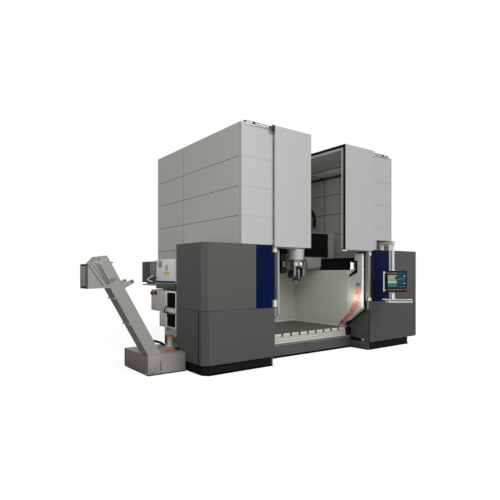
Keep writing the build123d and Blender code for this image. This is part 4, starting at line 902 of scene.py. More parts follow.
cover = [(0, 0.014), (0.050, 0.014), (0.056, 0.010), (0.082, 0.008), (0.086, 0.004), (0.086, 0), (0, 0)]
arm_screws = [(ram_y + across, tilt_z + up) for across, up in circle(8, 0.070)]
for side, label, metal in ((-1, "left", cutter_black), (1, "right", ground_steel)):
    face = ram_x + side * 0.150
    place = Matrix.Translation((face, ram_y, tilt_z)) @ Matrix.Rotation(side * math.pi / 2, 4, "Y")
    build(f"{label}_arm_cover", metal, (turned, cover, place), body="fork_head")
    root, tip = face + side * 0.008, face + side * 0.014
    screws = [(bar, (root, y, z), (tip, y, z), 0.0055, 10, 0.001) for y, z in arm_screws]
    build(f"{label}_arm_screws", ground_steel, *screws, body="fork_head")
print("arms covered")

# %% Front cover and collar screws
cover = [(0, 0.034), (0.030, 0.034), (0.036, 0.030), (0.052, 0.024), (0.056, 0.020), (0.056, 0), (0, 0)]
place = Matrix.Translation((ram_x, ram_y - 0.150, front_z)) @ Matrix.Rotation(math.pi / 2, 4, "X")
build("fork_front_cover", ground_steel, (turned, cover, place), body="fork_head")
front_screws = [(ram_x + across, front_z + up) for across, up in circle(6, 0.044)]
screws = [(bar, (x, ram_y - 0.174, z), (x, ram_y - 0.180, z), 0.005, 10, 0.001) for x, z in front_screws]
build("fork_front_screws", black_plastic, *screws, body="fork_head")
collar_screws = [(ram_x + across, ram_y + along) for across, along in circle(12, 0.149, 0.5)]
screws = [(bar, (x, y, 1.7995), (x, y, 1.808), 0.007, 12, 0.001) for x, y in collar_screws]
build("fork_collar_screws", black_plastic, *screws, body="fork_head")
print("fork closed")

# %% Painted highlight strip, coolant ring and bands of the spindle
# The bright strips on the spindle's front and left are a painted highlight.
build(
    "spindle_highlight_strip",
    ground_steel,
    (slab, (ram_x - 0.020, ram_y - 0.0875, 1.455), (ram_x + 0.020, ram_y - 0.080, 1.660), 0.003),
    (slab, (ram_x - 0.0875, ram_y - 0.018, 1.455), (ram_x - 0.080, ram_y + 0.018, 1.51), 0.003),
    body="spindle_housing",
)
ring = [(0.0505, 1.4205), (0.0505, 1.410), (0.064, 1.410), (0.070, 1.416), (0.070, 1.4205)]
build("coolant_ring", ground_steel, (turned, ring + ring[:1], ram_axis), body="spindle_housing")
bm = bmesh.new()
for across, along in circle(6, shift=0.25):
    out = Vector((across, along, 0))
    root = Vector((ram_x, ram_y, 1.412)) + out * 0.060
    bar(bm, root, root + Vector((0, 0, -0.014)) - out * 0.004, 0.0045, 10, tip=0.003)
piece("coolant_nozzles", bm, black_plastic, "spindle_housing")
bm = bmesh.new()
for groove in range(4):
    z = 1.530 + 0.022 * groove
    band = [(0.083, z), (0.0855, z + 0.002), (0.0855, z + 0.008), (0.083, z + 0.010), (0.083, z)]
    turned(bm, band, ram_axis)
piece("spindle_cooling_bands", bm, raw_iron, "spindle_housing")
print("spindle dressed")

# %% Cutter and coolant hose
flute_count, flute_steps, flute_twist = 3, 8, 0.35
bm = bmesh.new()
for flute in range(flute_count):
    for step in range(flute_steps):
        angle = math.tau * flute / flute_count + step * flute_twist
        z = 1.3475 + step * 0.0045
        out = Vector((math.cos(angle), math.sin(angle), 0)) * 0.0078
        bar(bm, Vector((ram_x, ram_y, z)) + out, Vector((ram_x, ram_y, z + 0.0052)) + out, 0.0022, 6)
piece("end_mill_flutes", bm, cutter_black, "spindle_nose")

hose_line = [
    (0.205, -0.680, 1.862),
    (0.232, -0.715, 1.835),
    (0.262, -0.735, 1.76),
    (0.258, -0.715, 1.70),
    (0.242, -0.690, 1.675),
]
pipe("head_coolant_hose", hose_line, 0.012, black_rubber, "ram")
print("head dressed")

# %% [markdown]
# ## Accumulator
# To the left of the ram hangs the accumulator of its weight balance, in a black case. A black cover plate
# with four screws and three pale marks closes the front and the left face of the case.

# %% Cover plates of the accumulator
build(
    "accumulator_cover",
    grille_black,
    (slab, (-0.288, -0.5715, 1.672), (-0.170, -0.5695, 1.838), 0.0006),
    (slab, (-0.2955, -0.562, 1.672), (-0.2935, -0.478, 1.838), 0.0006),
    (slab, (-0.305, -0.596, 1.962), (-0.153, -0.444, 2.118), 0.003),
    body="saddle",
)
mark_pitch = 0.040
marks = [1.708 + mark_pitch * k for k in range(3)]
marks = [(slab, (-0.262, -0.5722, low), (-0.198, -0.5712, low + 0.018)) for low in marks]
build("accumulator_marks", grey_plastic, *marks, body="saddle")
corners = [(x, z) for x in (-0.280, -0.178) for z in (1.682, 1.828)]
screws = [(bar, (x, -0.5745, z), (x, -0.5705, z), 0.0045, 10) for x, z in corners]
build("accumulator_screws", black_plastic, *screws, body="saddle")
print("accumulator covered")

# %% [markdown]
# ## Energy chain
# Cables reach the moving ram through a chain of plastic links that stands in an arch beside it. Every link is
# one box, turned along the arch. Its right end stays with the saddle while its left end goes up and down with
# the ram, so the chain rides on neither body: it stays where it is made.

# %% Lay the links along the arch
arch_y, arch_top = -0.455, 2.74
arch_right, arch_left = 0.745, 0.30
arch_radius = (arch_right - arch_left) / 2
arch_middle = arch_right - arch_radius
link_pitch = 0.037
path = [Vector((arch_right, arch_y, 2.58 + link_pitch * k)) for k in range(5)]
for k in range(1, 19):
    angle = math.pi * k / 19
    x, z = arch_middle + arch_radius * math.cos(angle), arch_top + arch_radius * math.sin(angle)
    path.append(Vector((x, arch_y, z)))
path += [Vector((arch_left, arch_y, arch_top - link_pitch * k)) for k in range(3)]
bm = bmesh.new()
for before, after in zip(path, path[1:]):
    turn = (after - before).to_track_quat("Z", "Y").to_matrix().to_4x4()
    merge(
        bm,
        Matrix.Translation((before + after) / 2) @ turn,
        (slab, (-0.020, -0.030, -0.0195), (0.020, 0.030, 0.0195), 0.003),
        (slab, (-0.024, -0.032, -0.006), (0.024, 0.032, 0.006), 0.002),
    )
chain = piece("ram_energy_chain", bm, black_plastic, body=None)
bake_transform(chain)
build(
    "chain_saddle_bracket",
    unit_dark_coat,
    (slab, (0.537, -0.49, 2.54), (0.785, -0.42, 2.572), 0.003),
    (slab, (0.537, -0.49, 2.47), (0.549, -0.42, 2.572), 0.003),
    body="saddle",
)
ram_bracket = (slab, (0.2365, -0.485, 2.64), (0.322, -0.425, 2.672), 0.003)
build("chain_ram_bracket", unit_dark_coat, ram_bracket, body="ram")
print("chain of", len(path) - 1, "links laid")

# %% [markdown]
# ## Operator pendant
# The pendant hangs from its arm on a light tube. Its black case holds a touch screen in a raised frame, a
# row of keys and the stop button. The case is rebuilt here from the same sizes as the plain solid, because
# its tube, its hand bar and its case are different materials. What the screen shows is made up: blocks of
# colour like a generic control's page, less than a millimetre thick.

# %% Case, tube, hand bar and screen frame
hang_x, hang_y = 1.551, -1.870
pendant_place = Matrix.Translation((hang_x, hang_y, 0)) @ Matrix.Rotation(camera_turn, 4, "Z")
on_panel = {"body": "pendant_panel", "place": pendant_place}
on_tray = {"body": "keyboard_tray", "place": pendant_place}
case_left, case_right, case_face, case_back = -0.143, 0.267, -0.0475, 0.0475
case_foot, case_top = 1.194, 1.624
screen_left, screen_right, screen_foot, screen_top = -0.126, 0.250, 1.292, 1.593
frame_back = case_face + 0.012
jamb_foot, jamb_top = screen_foot - 0.004, screen_top + 0.004
case = build(
    "pendant_case",
    black_plastic,
    (slab, (case_left, case_face + 0.0065, case_foot), (case_right, case_back, case_top), 0.010),
    (slab, (case_left, case_face, case_foot), (case_right, frame_back, screen_foot), 0.003),
    (slab, (case_left, case_face, screen_top), (case_right, frame_back, case_top), 0.003),
    (slab, (case_left, case_face, jamb_foot), (screen_left, frame_back, jamb_top), 0.002),
    (slab, (screen_right, case_face, jamb_foot), (case_right, frame_back, jamb_top), 0.002),
    **on_panel,
)
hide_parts("pendant_panel")

build(
    "pendant_tube",
    trim_white,
    (bar, (0, 0, case_top - 0.004), (0, 0, 2.1395), 0.025, 32),
    (bar, (0, 0, 2.12), (0, 0, 2.188), 0.0149, 24),
    (bar, (0, 0, case_top), (0, 0, case_top + 0.016), 0.040, 32, 0.003),
    (slab, (-0.030, -0.015, 1.086), (0.030, 0.015, case_foot + 0.004), 0.003),
    (slab, (-0.020, -0.025, 1.062), (0.020, 0.015, 1.090), 0.002),
    (bar, (-0.020, -0.010, 1.064), (0.020, -0.010, 1.064), 0.022, 28),
    **on_panel,
)
bar_x = case_left - 0.040
low, high = case_foot + 0.010, case_top - 0.010
levels = (case_foot + 0.040, case_top - 0.040)
build(
    "pendant_hand_bar",
    trim_white,
    (bar, (bar_x, 0, low), (bar_x, 0, high), 0.0138, 24, 0.003),
    *[(bar, (bar_x, 0, z), (case_left + 0.004, 0, z), 0.0088, 16) for z in levels],
    **on_panel,
)
print("pendant case built")

# %% The page on the screen
pane_face = case_face - 0.0002
page_blocks = [
    ("menu", "#8A4A38", (-0.120, -0.040, 1.565, 1.586)),
    ("menu", "#8A6F4A", (-0.038, 0.060, 1.565, 1.586)),
    ("banner", "#1D4A60", (0.062, 0.244, 1.565, 1.586)),
    ("list", "#8FB08A", (-0.118, 0.060, 1.505, 1.535)),
    ("list", "#A9B48A", (-0.118, 0.020, 1.470, 1.498)),
    ("list", "#7FA88E", (-0.118, 0.050, 1.430, 1.463)),
    ("list", "#A4B59A", (-0.118, 0.060, 1.370, 1.423)),
    ("plot", "#10384E", (0.070, 0.240, 1.340, 1.550)),
    ("status", "#2A7A78", (-0.118, 0.060, 1.318, 1.350)),
    ("keys", "#1F6A78", (-0.118, 0.244, 1.298, 1.310)),
]
for number, (kind, colour, (left, right, foot, top)) in enumerate(page_blocks):
    lit, shader = start_material(f"display_pixels_{kind}_{number}", Roughness=0.3, Emission_Strength=0.4)
    place = add(lit, "ShaderNodeTexCoord").outputs["Object"]
    rows = add(lit, "ShaderNodeTexWave", {"Vector": place, "Scale": 22.0}, bands_direction="Z").outputs[1]
    tones = {0: rows, 6: shaded(colour, 0.55), 7: linear(colour)}
    glow = add(lit, "ShaderNodeMix", tones, data_type="RGBA").outputs[2]
    feed(shader, Base_Color=glow, Emission_Color=glow)
    block = (slab, (left, pane_face - 0.0002, foot), (right, pane_face + 0.0004, top))
    build(f"screen_{kind}_{number}", lit, block, **on_panel)
keys = [(bar, (0.215, pane_face - 0.0008, z), (0.215, pane_face, z), 0.0115, 24) for z in (1.372, 1.520)]
build("screen_round_keys", trim_white, *keys, **on_panel)
plot = [(0.085, 1.44, 0.130, 1.475), (0.130, 1.475, 0.180, 1.452), (0.180, 1.452, 0.225, 1.49)]
y = pane_face - 0.0005
strokes = [(bar, (left, y, foot), (right, y, top), 0.0013, 6) for left, foot, right, top in plot]
build("screen_plot_line", trim_white, *strokes, **on_panel)
print("screen page laid out")

# %% Keys under the screen
key_pitch = 0.033
key_back = case_face + 0.002
lefts = [-0.112 + key_pitch * key for key in range(9)]
keys = [(slab, (x, case_face - 0.005, 1.236), (x + 0.022, key_back, 1.252), 0.002) for x in lefts]
build("pendant_keys_upper", grey_plastic, *keys, **on_panel)
keys = [(slab, (x, case_face - 0.004, 1.212), (x + 0.022, key_back, 1.226), 0.002) for x in lefts]
build("pendant_keys_lower", unit_dark_coat, *keys, **on_panel)
stop_place = Matrix.Translation((0.225, case_face + 0.001, 1.242)) @ Matrix.Rotation(math.pi / 2, 4, "X")
ring = [(0.0135, 0), (0.0135, 0.003), (0.027, 0.003), (0.029, 0.002), (0.029, 0), (0.0135, 0)]
build("stop_button_plate", red_plastic, (turned, ring, stop_place), **on_panel)
bm = bmesh.new()
for row in range(4):
    for column in range(15 - row % 2):
        x = -0.145 + 0.0285 * column + 0.008 * (row % 2)
        y = -0.245 + 0.040 * row
        slab(bm, (x, y, 1.0425), (x + 0.024, y + 0.033, 1.0535), 0.002)
piece("keyboard_keys", bm, trim_white, **on_tray)
print("keys fitted")

# %% Rim and seam of the keyboard tray
build(
    "keyboard_rim",
    trim_white,
    (slab, (-0.166, -0.2805, 1.0518), (0.290, -0.256, 1.0660), 0.002),
    *[(slab, (x, -0.262, 1.0518), (x + 0.012, -0.060, 1.0660), 0.002) for x in (-0.171, 0.283)],
    (bar, (-0.262, -0.150, 1.060), (-0.160, -0.150, 1.060), 0.0085, 18, 0.002),
    **on_tray,
)
build(
    "keyboard_seam",
    black_rubber,
    (slab, (-0.154, -0.2856, 1.0370), (0.278, -0.2830, 1.0516), 0.0003),
    *[(slab, (x, -0.265, 1.0415), (x + 0.0012, -0.054, 1.0500), 0.0003) for x in (-0.1736, 0.2962)],
    **on_tray,
)
print("keyboard tray edged")

# %% [markdown]
# ## Consoles and doors
# The consoles are big smooth boxes; what breaks them up is small. The cabinet door gets its quarter-turn
# locks, and the front doors get rubber around their windows and along their sloping skirts, and a cover or
# a dark strip over their leading edges. The pale strip of the frame shows beside the right blue panel.
# Dark gaps at the aprons, the joint in the left console's side and the strips at the plinths' feet are thin
# slabs a few tenths of a millimetre proud of the sheet. The black in the apron gaps is painted shade, and the
# black strips at the plinths' feet are painted contact shadow.

# %% Rubbers of the front doors
face, rear = -1.4995, -1.488
across_skirt = Vector((0, 0.372, 0.499)).normalized() * 0.0205
for side, body in ((-1, "left_front_door"), (1, "right_front_door")):
    left, right = sorted((side * 1.290, side * 2.298))
    rails = ((1.048, 1.064), (1.956, 1.972))
    build(
        f"{body}_window_rubber",
        black_rubber,
        *[(slab, (left - 0.012, face, foot), (right + 0.012, rear, top), 0.003) for foot, top in rails],
        *[(slab, (x - 0.012, face, 1.060), (x + 0.004, rear, 1.960), 0.003) for x in (left, right)],
        body=body,
    )
    left, right = sorted((side * 1.2032, side * 1.2045))
    knee, foot = Vector((left, -1.478, 0.847)), Vector((left, -0.979, 0.475))
    skirt = [knee + across_skirt, knee - across_skirt, foot - across_skirt, foot + across_skirt]
    build(
        f"{body}_skirt_rubber",
        black_rubber,
        (prism, skirt, (right - left, 0, 0)),
        (slab, (left, -1.4985, 0.847), (right, -1.4575, 1.010)),
        body=body,
    )

print("doors sealed")

# %% Edges beside the doorway
frame_strip = (slab, (1.908, -1.5222, 1.006), (1.962, -1.5202, 2.056), 0.0008)
panel_rubber = (slab, (1.2690, -1.5362, 1.075), (1.3600, -1.5342, 1.930), 0.0005)
edge_cover = (slab, (1.2060, -1.5340, 1.078), (1.2650, -1.4975, 1.928), 0.003)
edge_strip = (slab, (-1.2495, -1.4995, 1.075), (-1.2045, -1.4975, 1.930), 0.0005)
side_joint = (slab, (-2.6652, -1.372, 0.172), (-2.6638, -1.346, 0.990))
build("right_frame_strip", strip_blue_grey, frame_strip)
build("right_blue_panel_rubber", black_rubber, panel_rubber)
build("right_door_edge_cover", door_coat, edge_cover, body="right_front_door")
build("left_door_edge_strip", unit_dark_coat, edge_strip, body="left_front_door")
build("console_side_joint", black_rubber, side_joint)
print("edges covered")

# %% Plates, blocks and painted shade at the aprons and plinths
apron_end = 1.2668
gap_profile = ((-1.300, 0.1705), (-0.985, 0.1705), (-0.985, 0.252), (-1.300, 0.205))
plates, gaps, blocks, strips = bmesh.new(), bmesh.new(), bmesh.new(), bmesh.new()
for side, plinth_near, plinth_far in ((-1, 1.300, 2.560), (1, 1.310, 2.650)):
    slab(plates, (side * 1.270, -1.470, 0.0005), (side * 1.306, -1.000, 0.165), 0.002)
    left, right = sorted((side * 1.262, side * apron_end))
    # The black slabs in the apron gaps are painted shade of the gaps.
    slab(gaps, (left, -1.512, 0.180), (right, -1.500, 0.835))
    prism(gaps, [(left, y, z) for y, z in gap_profile], (right - left, 0, 0))
    slab(blocks, (side * 1.258, -1.372, 0.182), (side * apron_end, -1.318, 0.214), 0.002)
    # Black strips at the plinths' feet are painted contact shadow.
    slab(strips, (side * plinth_near, -1.4815, 0.0005), (side * plinth_far, -1.4795, 0.030))
piece("sill_return_plates", plates, base_coat)
piece("apron_gap_shade", gaps, black_rubber)
piece("apron_roller_blocks", blocks, trim_white)
piece("plinth_foot_painted_shadow", strips, grille_black)
print("foot of the consoles dressed")

# %% Quarter-turn locks
lock_y = -0.905
bm = bmesh.new()
for z in (1.30, 1.76):
    bar(bm, (2.978, lock_y, z), (2.984, lock_y, z), 0.016, 24, 0.002)
    slab(bm, (2.9835, lock_y - 0.0025, z - 0.010), (2.9875, lock_y + 0.0025, z + 0.010), 0.001)
piece("cabinet_quarter_turns", bm, black_plastic, "cabinet_door")
print("cabinet door locked")

# %% [markdown]
# ## Chip conveyor
# A hinged steel belt lifts the chips out of the tank. Its plates run in one loop round the drum at the top
# and the tail in the tank, so one plate and one hinge are made again and again along a stadium-shaped path.
# Cross ribs, screws and the drive's fasteners dress the trunk, four grey strips hang in the chute, and the
# drive's cover gets a dark folded edge on its left and at its foot, darkened as painted shadow.

# %% Hinged belt plates
drum_centre, tail_centre = Vector((-3.91197, 0, 1.616)), Vector((-3.19002, 0, 0.324))
belt_radius = 0.0771
belt_near, belt_far = -0.905, -0.645
run = tail_centre - drum_centre
along_run = run.normalized()
normal = Vector((along_run.z, 0, -along_run.x))
arc = math.pi * belt_radius
loop = 2 * run.length + 2 * arc
plates = 54


def belt_point(distance):
    """A point on the belt's middle line, and the direction the belt has there."""
    distance %= loop
    if distance < run.length:
        return drum_centre + normal * belt_radius + along_run * distance, along_run
    distance -= run.length
    if distance < arc:
        turn = Matrix.Rotation(distance / belt_radius, 3, "Y")
        if (turn @ normal).dot(along_run) < 0:
            turn = turn.inverted()
        return tail_centre + turn @ normal * belt_radius, turn @ along_run
    distance -= arc
    if distance < run.length:
        return tail_centre - normal * belt_radius - along_run * distance, -along_run
    distance -= run.length
    turn = Matrix.Rotation(distance / belt_radius, 3, "Y")
    if (turn @ -normal).dot(-along_run) < 0:
        turn = turn.inverted()
    return drum_centre + turn @ -normal * belt_radius, turn @ -along_run


print("belt loop:", round(loop, 3), "m")

# %% Lay the belt plates
side_arrow = Vector((0, 1, 0))
half = loop / plates / 2
bm = bmesh.new()
for plate in range(plates):
    middle, heading = belt_point(loop * (plate + 0.5) / plates)
    up = heading.cross(side_arrow)
    merge(
        bm,
        Matrix.Translation(middle) @ Matrix((heading, side_arrow, up)).transposed().to_4x4(),
        (slab, (-half + 0.004, belt_near, -0.0012), (half - 0.004, belt_far, 0.0012), 0.0008),
        (bar, (half, belt_near, 0), (half, belt_far, 0), 0.0042, 8),
    )
belt = piece("conveyor_belt_plates", bm, belt_steel)
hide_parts("conveyor_belt")
print("belt of", plates, "plates laid")

# %% Ribs and screws of the trunk
lean_run = 0.5588
trunk_foot_x, trunk_foot_z = -3.306, 0.338
trunk_near, trunk_far = -0.920, -0.630
chute_x, chute_low, chute_high = -4.225, 1.361, 1.714
under = Vector((-1, 0, -lean_run)).normalized()


def trunk_x(height):
    """Where the leaning trunk's lower face is at a height."""
    return trunk_foot_x - lean_run * (height - trunk_foot_z)


bm = bmesh.new()
for height in (1.22, 0.82):
    root = Vector((trunk_x(height), 0, height)) + under * 0.006
    bar(bm, (root.x, trunk_near - 0.012, root.z), (root.x, trunk_far - 0.004, root.z), 0.012, 16, 0.002)
    for y in (trunk_near - 0.006, trunk_far - 0.034):
        bar(bm, (root.x, y, root.z), (root.x + under.x * 0.030, y, root.z + under.z * 0.030), 0.008, 10)
piece("trunk_cross_ribs", bm, conveyor_coat)

bm = bmesh.new()
for row in range(7):
    z = 0.42 + 0.155 * row
    for offset in (0.030, 0.206):
        x = trunk_x(z) + offset
        bar(bm, (x, trunk_near - 0.0035, z), (x, trunk_near, z), 0.007, 12, 0.001)
piece("trunk_side_screws", bm, conveyor_coat)
print("trunk ribbed and screwed")

# %% Strips in the chute
strip_count = 4
strip_width = (trunk_far - trunk_near - 0.080) / strip_count
foot, top = chute_low + 0.030, chute_high - 0.030
bm = bmesh.new()
for strip in range(strip_count):
    near = trunk_near + 0.040 + strip_width * strip
    far = near + strip_width - 0.002
    slab(bm, (chute_x + 0.0005, near + 0.002, foot), (chute_x + 0.005, far, top), 0.001)
piece("chute_flap", bm, grey_plastic)
gap_foot, gap_top = chute_low + 0.026, chute_high - 0.026
gap = (slab, (chute_x + 0.0035, trunk_near + 0.036, gap_foot), (chute_x + 0.0065, trunk_far - 0.036, gap_top))
build("chute_shadow_gap", black_rubber, gap)
edge_y, edge_x = trunk_near - 0.002, chute_x + 0.024
build(
    "chute_edge",
    unit_dark_coat,
    (slab, (chute_x, edge_y, chute_high - 0.016), (edge_x, trunk_near, chute_high), 0.0005),
    (slab, (chute_x, edge_y, chute_low), (edge_x, trunk_near, chute_high), 0.0005),
)
print("chute curtained")

# %% Cover of the drive
cover_centre = Vector((-3.940, trunk_near - 0.032, 1.628))
cover_place = Matrix.Translation(cover_centre) @ Matrix.Rotation(-math.atan2(lean_run, 1), 4, "Y")
corners = [(x, z) for x in (-0.038, 0.038) for z in (-0.125, 0.125)]
screws = [(bar, (x, -0.004, z), (x, 0.001, z), 0.006, 12, 0.001) for x, z in corners]
build("drive_cover_screws", ground_steel, *screws, place=cover_place)
plate = (slab, (-0.064, 0.024, -0.165), (0.064, 0.0315, 0.152), 0.001)
build("drive_cover_plate", conveyor_coat, plate, place=cover_place)
# The dark strips on the cover's left edge and foot are its fold, darkened as painted shadow.
build(
    "drive_cover_shadow_edge",
    return_coat,
    (slab, (-0.084, 0.018, -0.184), (-0.066, 0.0316, 0.160), 0.001),
    (slab, (-0.084, 0.018, -0.186), (0.066, 0.0316, -0.170), 0.001),
    place=cover_place,
)
print("drive covered")

# %% Hood, flange, return cover and ears
stud_y = trunk_near + 0.03
build(
    "hood_stud_and_catch",
    raw_iron,
    (bar, (-3.884, stud_y, 1.722), (-3.850, stud_y, 1.739), 0.006, 12),
    (bar, (-3.856, stud_y, 1.736), (-3.838, stud_y, 1.745), 0.011, 14, 0.002),
    (slab, (-4.052, trunk_near - 0.0015, 1.757), (-4.043, trunk_near, 1.812)),
)
seam = ((-4.203, 1.700), (-4.139, 1.712), (-3.932, 1.432), (-3.990, 1.392))
shadow = (prism, [(x, trunk_near - 0.0012, z) for x, z in seam], (0, 0.0012, 0))
build("chute_flange_shadow", unit_dark_coat, shadow)
seam = ((-4.190, 1.700), (-4.147, 1.708), (-3.941, 1.428), (-3.981, 1.401))
flange = (prism, [(x, trunk_near - 0.0045, z) for x, z in seam], (0, 0.0040, 0))
build("chute_flange", conveyor_coat, flange)
near, far = trunk_near + 0.003, trunk_far - 0.003
sheet = [(-3.8745, near, 1.3555), (-3.3085, near, 0.3425), (-3.3085, far, 0.3425), (-3.8745, far, 1.3555)]
build("trunk_return_cover", return_coat, (prism, sheet, under * 0.0018))
ears = ((-3.553, 1.455, 0.0155), (-3.661, 1.471, 0.012))
near, far = trunk_near - 0.002, trunk_near + 0.010
bushings = [(bar, (x, near, z), (x, far, z), radius, 20, 0.001) for x, z, radius in ears]
build("ear_bushings", raw_iron, *bushings)
print("conveyor dressed")

# %% [markdown]
# ## Coolant tank
# The tank stands under the conveyor. On its lid are a red port ring and a tall level cup with a red lid;
# each is its own plastic, so they are turned here instead of using the plain solid. A black cable crosses
# the lid to a plug at the console's foot, and the corner plate carries screws and a levelling slot.


# %% Port and level cup
def above(foot, outline):
    """An outline whose heights are counted from a foot."""
    return [(radius, foot + height) for radius, height in outline]


lid = 0.310
port_place = Matrix.Translation((-2.794, -0.720, 0))
ring = [(0, 0), (0.094, 0), (0.094, 0.010), (0.090, 0.014), (0.070, 0.014), (0.066, 0.005), (0, 0.005)]
port = build("lid_port_ring", port_red, (turned, above(lid, ring), port_place, 48))
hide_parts("tank_fittings")
cup_place = Matrix.Translation((-2.604, -0.280, 0))
cup = [(0, 0), (0.058, 0), (0.058, 0.012), (0.044, 0.015), (0.040, 0.020), (0.046, 0.095), (0, 0.095)]
upper = [(0, 0.095), (0.0462, 0.095), (0.052, 0.172), (0, 0.172)]
cap = [(0, 0.1725), (0.056, 0.1725), (0.056, 0.190), (0.052, 0.194), (0.020, 0.196), (0, 0.196)]
build("level_cup", white_plastic, (turned, above(lid, cup), cup_place, 40))
build("level_cup_upper", pale_pink, (turned, above(lid, upper), cup_place, 40))
build("level_cup_lid", port_red, (turned, above(lid, cap), cup_place, 40))
print("port and cup turned")

# %% Cable and plugs
cable_line = [
    (-3.06, -0.06, 0.355),
    (-2.98, -0.05, 0.405),
    (-2.86, -0.05, 0.402),
    (-2.75, -0.06, 0.375),
    (-2.67, -0.09, 0.345),
    (-2.66, -0.12, 0.325),
]
pipe("tank_plug_cable", cable_line, 0.022, black_rubber)
build(
    "tank_plug",
    black_plastic,
    (slab, (-2.720, -0.720, lid), (-2.668, -0.648, 0.345), 0.004),
    (slab, (-2.690, -0.145, lid), (-2.632, -0.095, 0.334), 0.004),
    (slab, (-3.085, -0.085, lid), (-3.035, -0.035, 0.360), 0.004),
)

print("cable laid")

# %% Corner plate, jack and casters
front = -0.940
plate = (slab, (-3.3075, front - 0.0025, 0.022), (-3.05, front, 0.306), 0.0008)
build("tank_corner_plate", tank_coat, plate)
heads = ((-3.27, 0.10), (-3.20, 0.115), (-3.27, 0.048), (-3.235, 0.040), (-3.20, 0.045))
screws = [(bar, (x, front - 0.008, z), (x, front - 0.002, z), 0.0085, 12, 0.001) for x, z in heads]
build("tank_corner_screws", raw_iron, *screws)
# The slot's black is painted shade of its opening.
slot = (slab, (-3.103, front - 0.0032, 0.080), (-3.093, front - 0.002, 0.215), 0.0003)
build("tank_level_slot", black_plastic, slot)
build(
    "tank_jack_screw",
    ground_steel,
    (slab, (-3.108, front - 0.016, 0.022), (-3.088, front - 0.0022, 0.062), 0.002),
    (bar, (-3.098, front - 0.010, 0.0), (-3.098, front - 0.010, 0.082), 0.005, 12),
)
x, z = -3.285, 0.026
casters = [(bar, (x, y - 0.012, z), (x, y + 0.012, z), 0.0245, 24, 0.004) for y in (-0.86, -0.10)]
build("tank_casters", white_plastic, *casters)
print("corner plate screwed on")

# %% Painted shade on the tank's end and at its foot
build("tank_end_edge", unit_dark_coat, (slab, (-3.3078, -0.028, 0.022), (-3.304, 0.018, 0.306), 0.0006))
# The darker sheet over the tank's left end face is painted shade.
build("tank_end_shade_sheet", tank_shade_coat, (slab, (-3.3072, -0.936, 0.022), (-3.305, -0.029, 0.304), 0.0005))
# Black strips along the tank's foot are painted contact shadow.
build(
    "tank_foot_painted_shadow",
    grille_black,
    (slab, (-3.290, -0.934, 0.0005), (-2.650, -0.926, 0.021)),
    (slab, (-3.300, -0.930, 0.0005), (-3.292, 0.010, 0.021)),
)
print("tank dressed")

# %% [markdown]
# ## Boxes on the left flank
# The supply cabinet, the coolant filter and two switch cabinets hang on the left side. They carry generic
# plates without words: a grey rating plate, a yellow warning oval and a dark strip. Doors, latches, pipes and
# the red switches' pale backs make them read as cabinets. A dark greenish block fills the recess below the
# supply cabinet as painted shade.

# %% Supply cabinet
flank_x = -2.564
sheet_x = flank_x - 0.004
build(
    "supply_door",
    unit_coat,
    (slab, (sheet_x, -0.395, 1.445), (flank_x, 0.355, 1.812), 0.002),
    (slab, (flank_x - 0.008, -0.418, 1.3705), (flank_x, 0.378, 1.402), 0.002),
)
# The black band in the gap between the door and the lip is painted shade.
foot_gap = (slab, (flank_x - 0.005, -0.416, 1.406), (flank_x, 0.376, 1.438), 0.001)
build("supply_foot_gap_shade", black_rubber, foot_gap)
# A dark block in the recess below the supply cabinet: painted shade.
build("supply_recess_shade", recess_shade_coat, (slab, (-2.5745, -0.424, 1.295), (-2.5605, 0.355, 1.3995), 0.001))
label_x = flank_x - 0.0052
rating_plate = (slab, (label_x, 0.110, 1.684), (label_x + 0.002, 0.255, 1.806), 0.0005)
build("supply_rating_plate", label_grey, rating_plate)
oval = [(label_x, -0.065 + 0.115 * across, 1.577 + 0.030 * up) for across, up in circle(24)]
build("supply_warning_oval", yellow_plastic, (prism, oval, (0.002, 0, 0)))
bm = bmesh.new()
for mark in range(5):
    z = 1.628 + 0.022 * mark
    slab(bm, (label_x, -0.105 - 0.012 * (mark % 2), z), (label_x + 0.002, -0.030, z + 0.016))
piece("supply_dark_marks", bm, label_brown)
front, back = flank_x - 0.012, flank_x - 0.003
latches = [(slab, (front, 0.328, z - 0.02), (back, 0.350, z + 0.02), 0.002) for z in (1.49, 1.76)]
build("supply_latches", grey_plastic, *latches)
print("supply cabinet dressed")

# %% Coolant filter
build("filter_cover", unit_dark_coat, (slab, (flank_x - 0.010, 0.655, 1.400), (flank_x, 0.985, 1.785), 0.003))
bowl_x = flank_x - 0.014
bowls, ends = bmesh.new(), bmesh.new()
slab(bowls, (flank_x - 0.003, 0.395, 1.500), (flank_x, 0.640, 1.790), 0.001)
for y in (0.430, 0.505, 0.580):
    bar(bowls, (bowl_x, y, 1.520), (bowl_x, y, 1.770), 0.014, 16, 0.003)
    bar(ends, (bowl_x, y, 1.470), (bowl_x, y, 1.522), 0.017, 16, 0.003)
    bar(ends, (bowl_x, y, 1.768), (bowl_x, y, 1.782), 0.016, 16, 0.002)
piece("filter_bowls", bowls, grey_plastic)
piece("filter_bowl_ends", ends, unit_dark_coat)
drain_line = [
    (-2.566, 0.425, 1.530),
    (-2.596, 0.470, 1.522),
    (-2.606, 0.655, 1.462),
    (-2.606, 0.665, 1.455),
    (-2.600, 0.600, 1.436),
    (-2.570, 0.515, 1.418),
]
pipe("filter_drain_pipe", drain_line, 0.013, trim_white)
print("filter dressed")

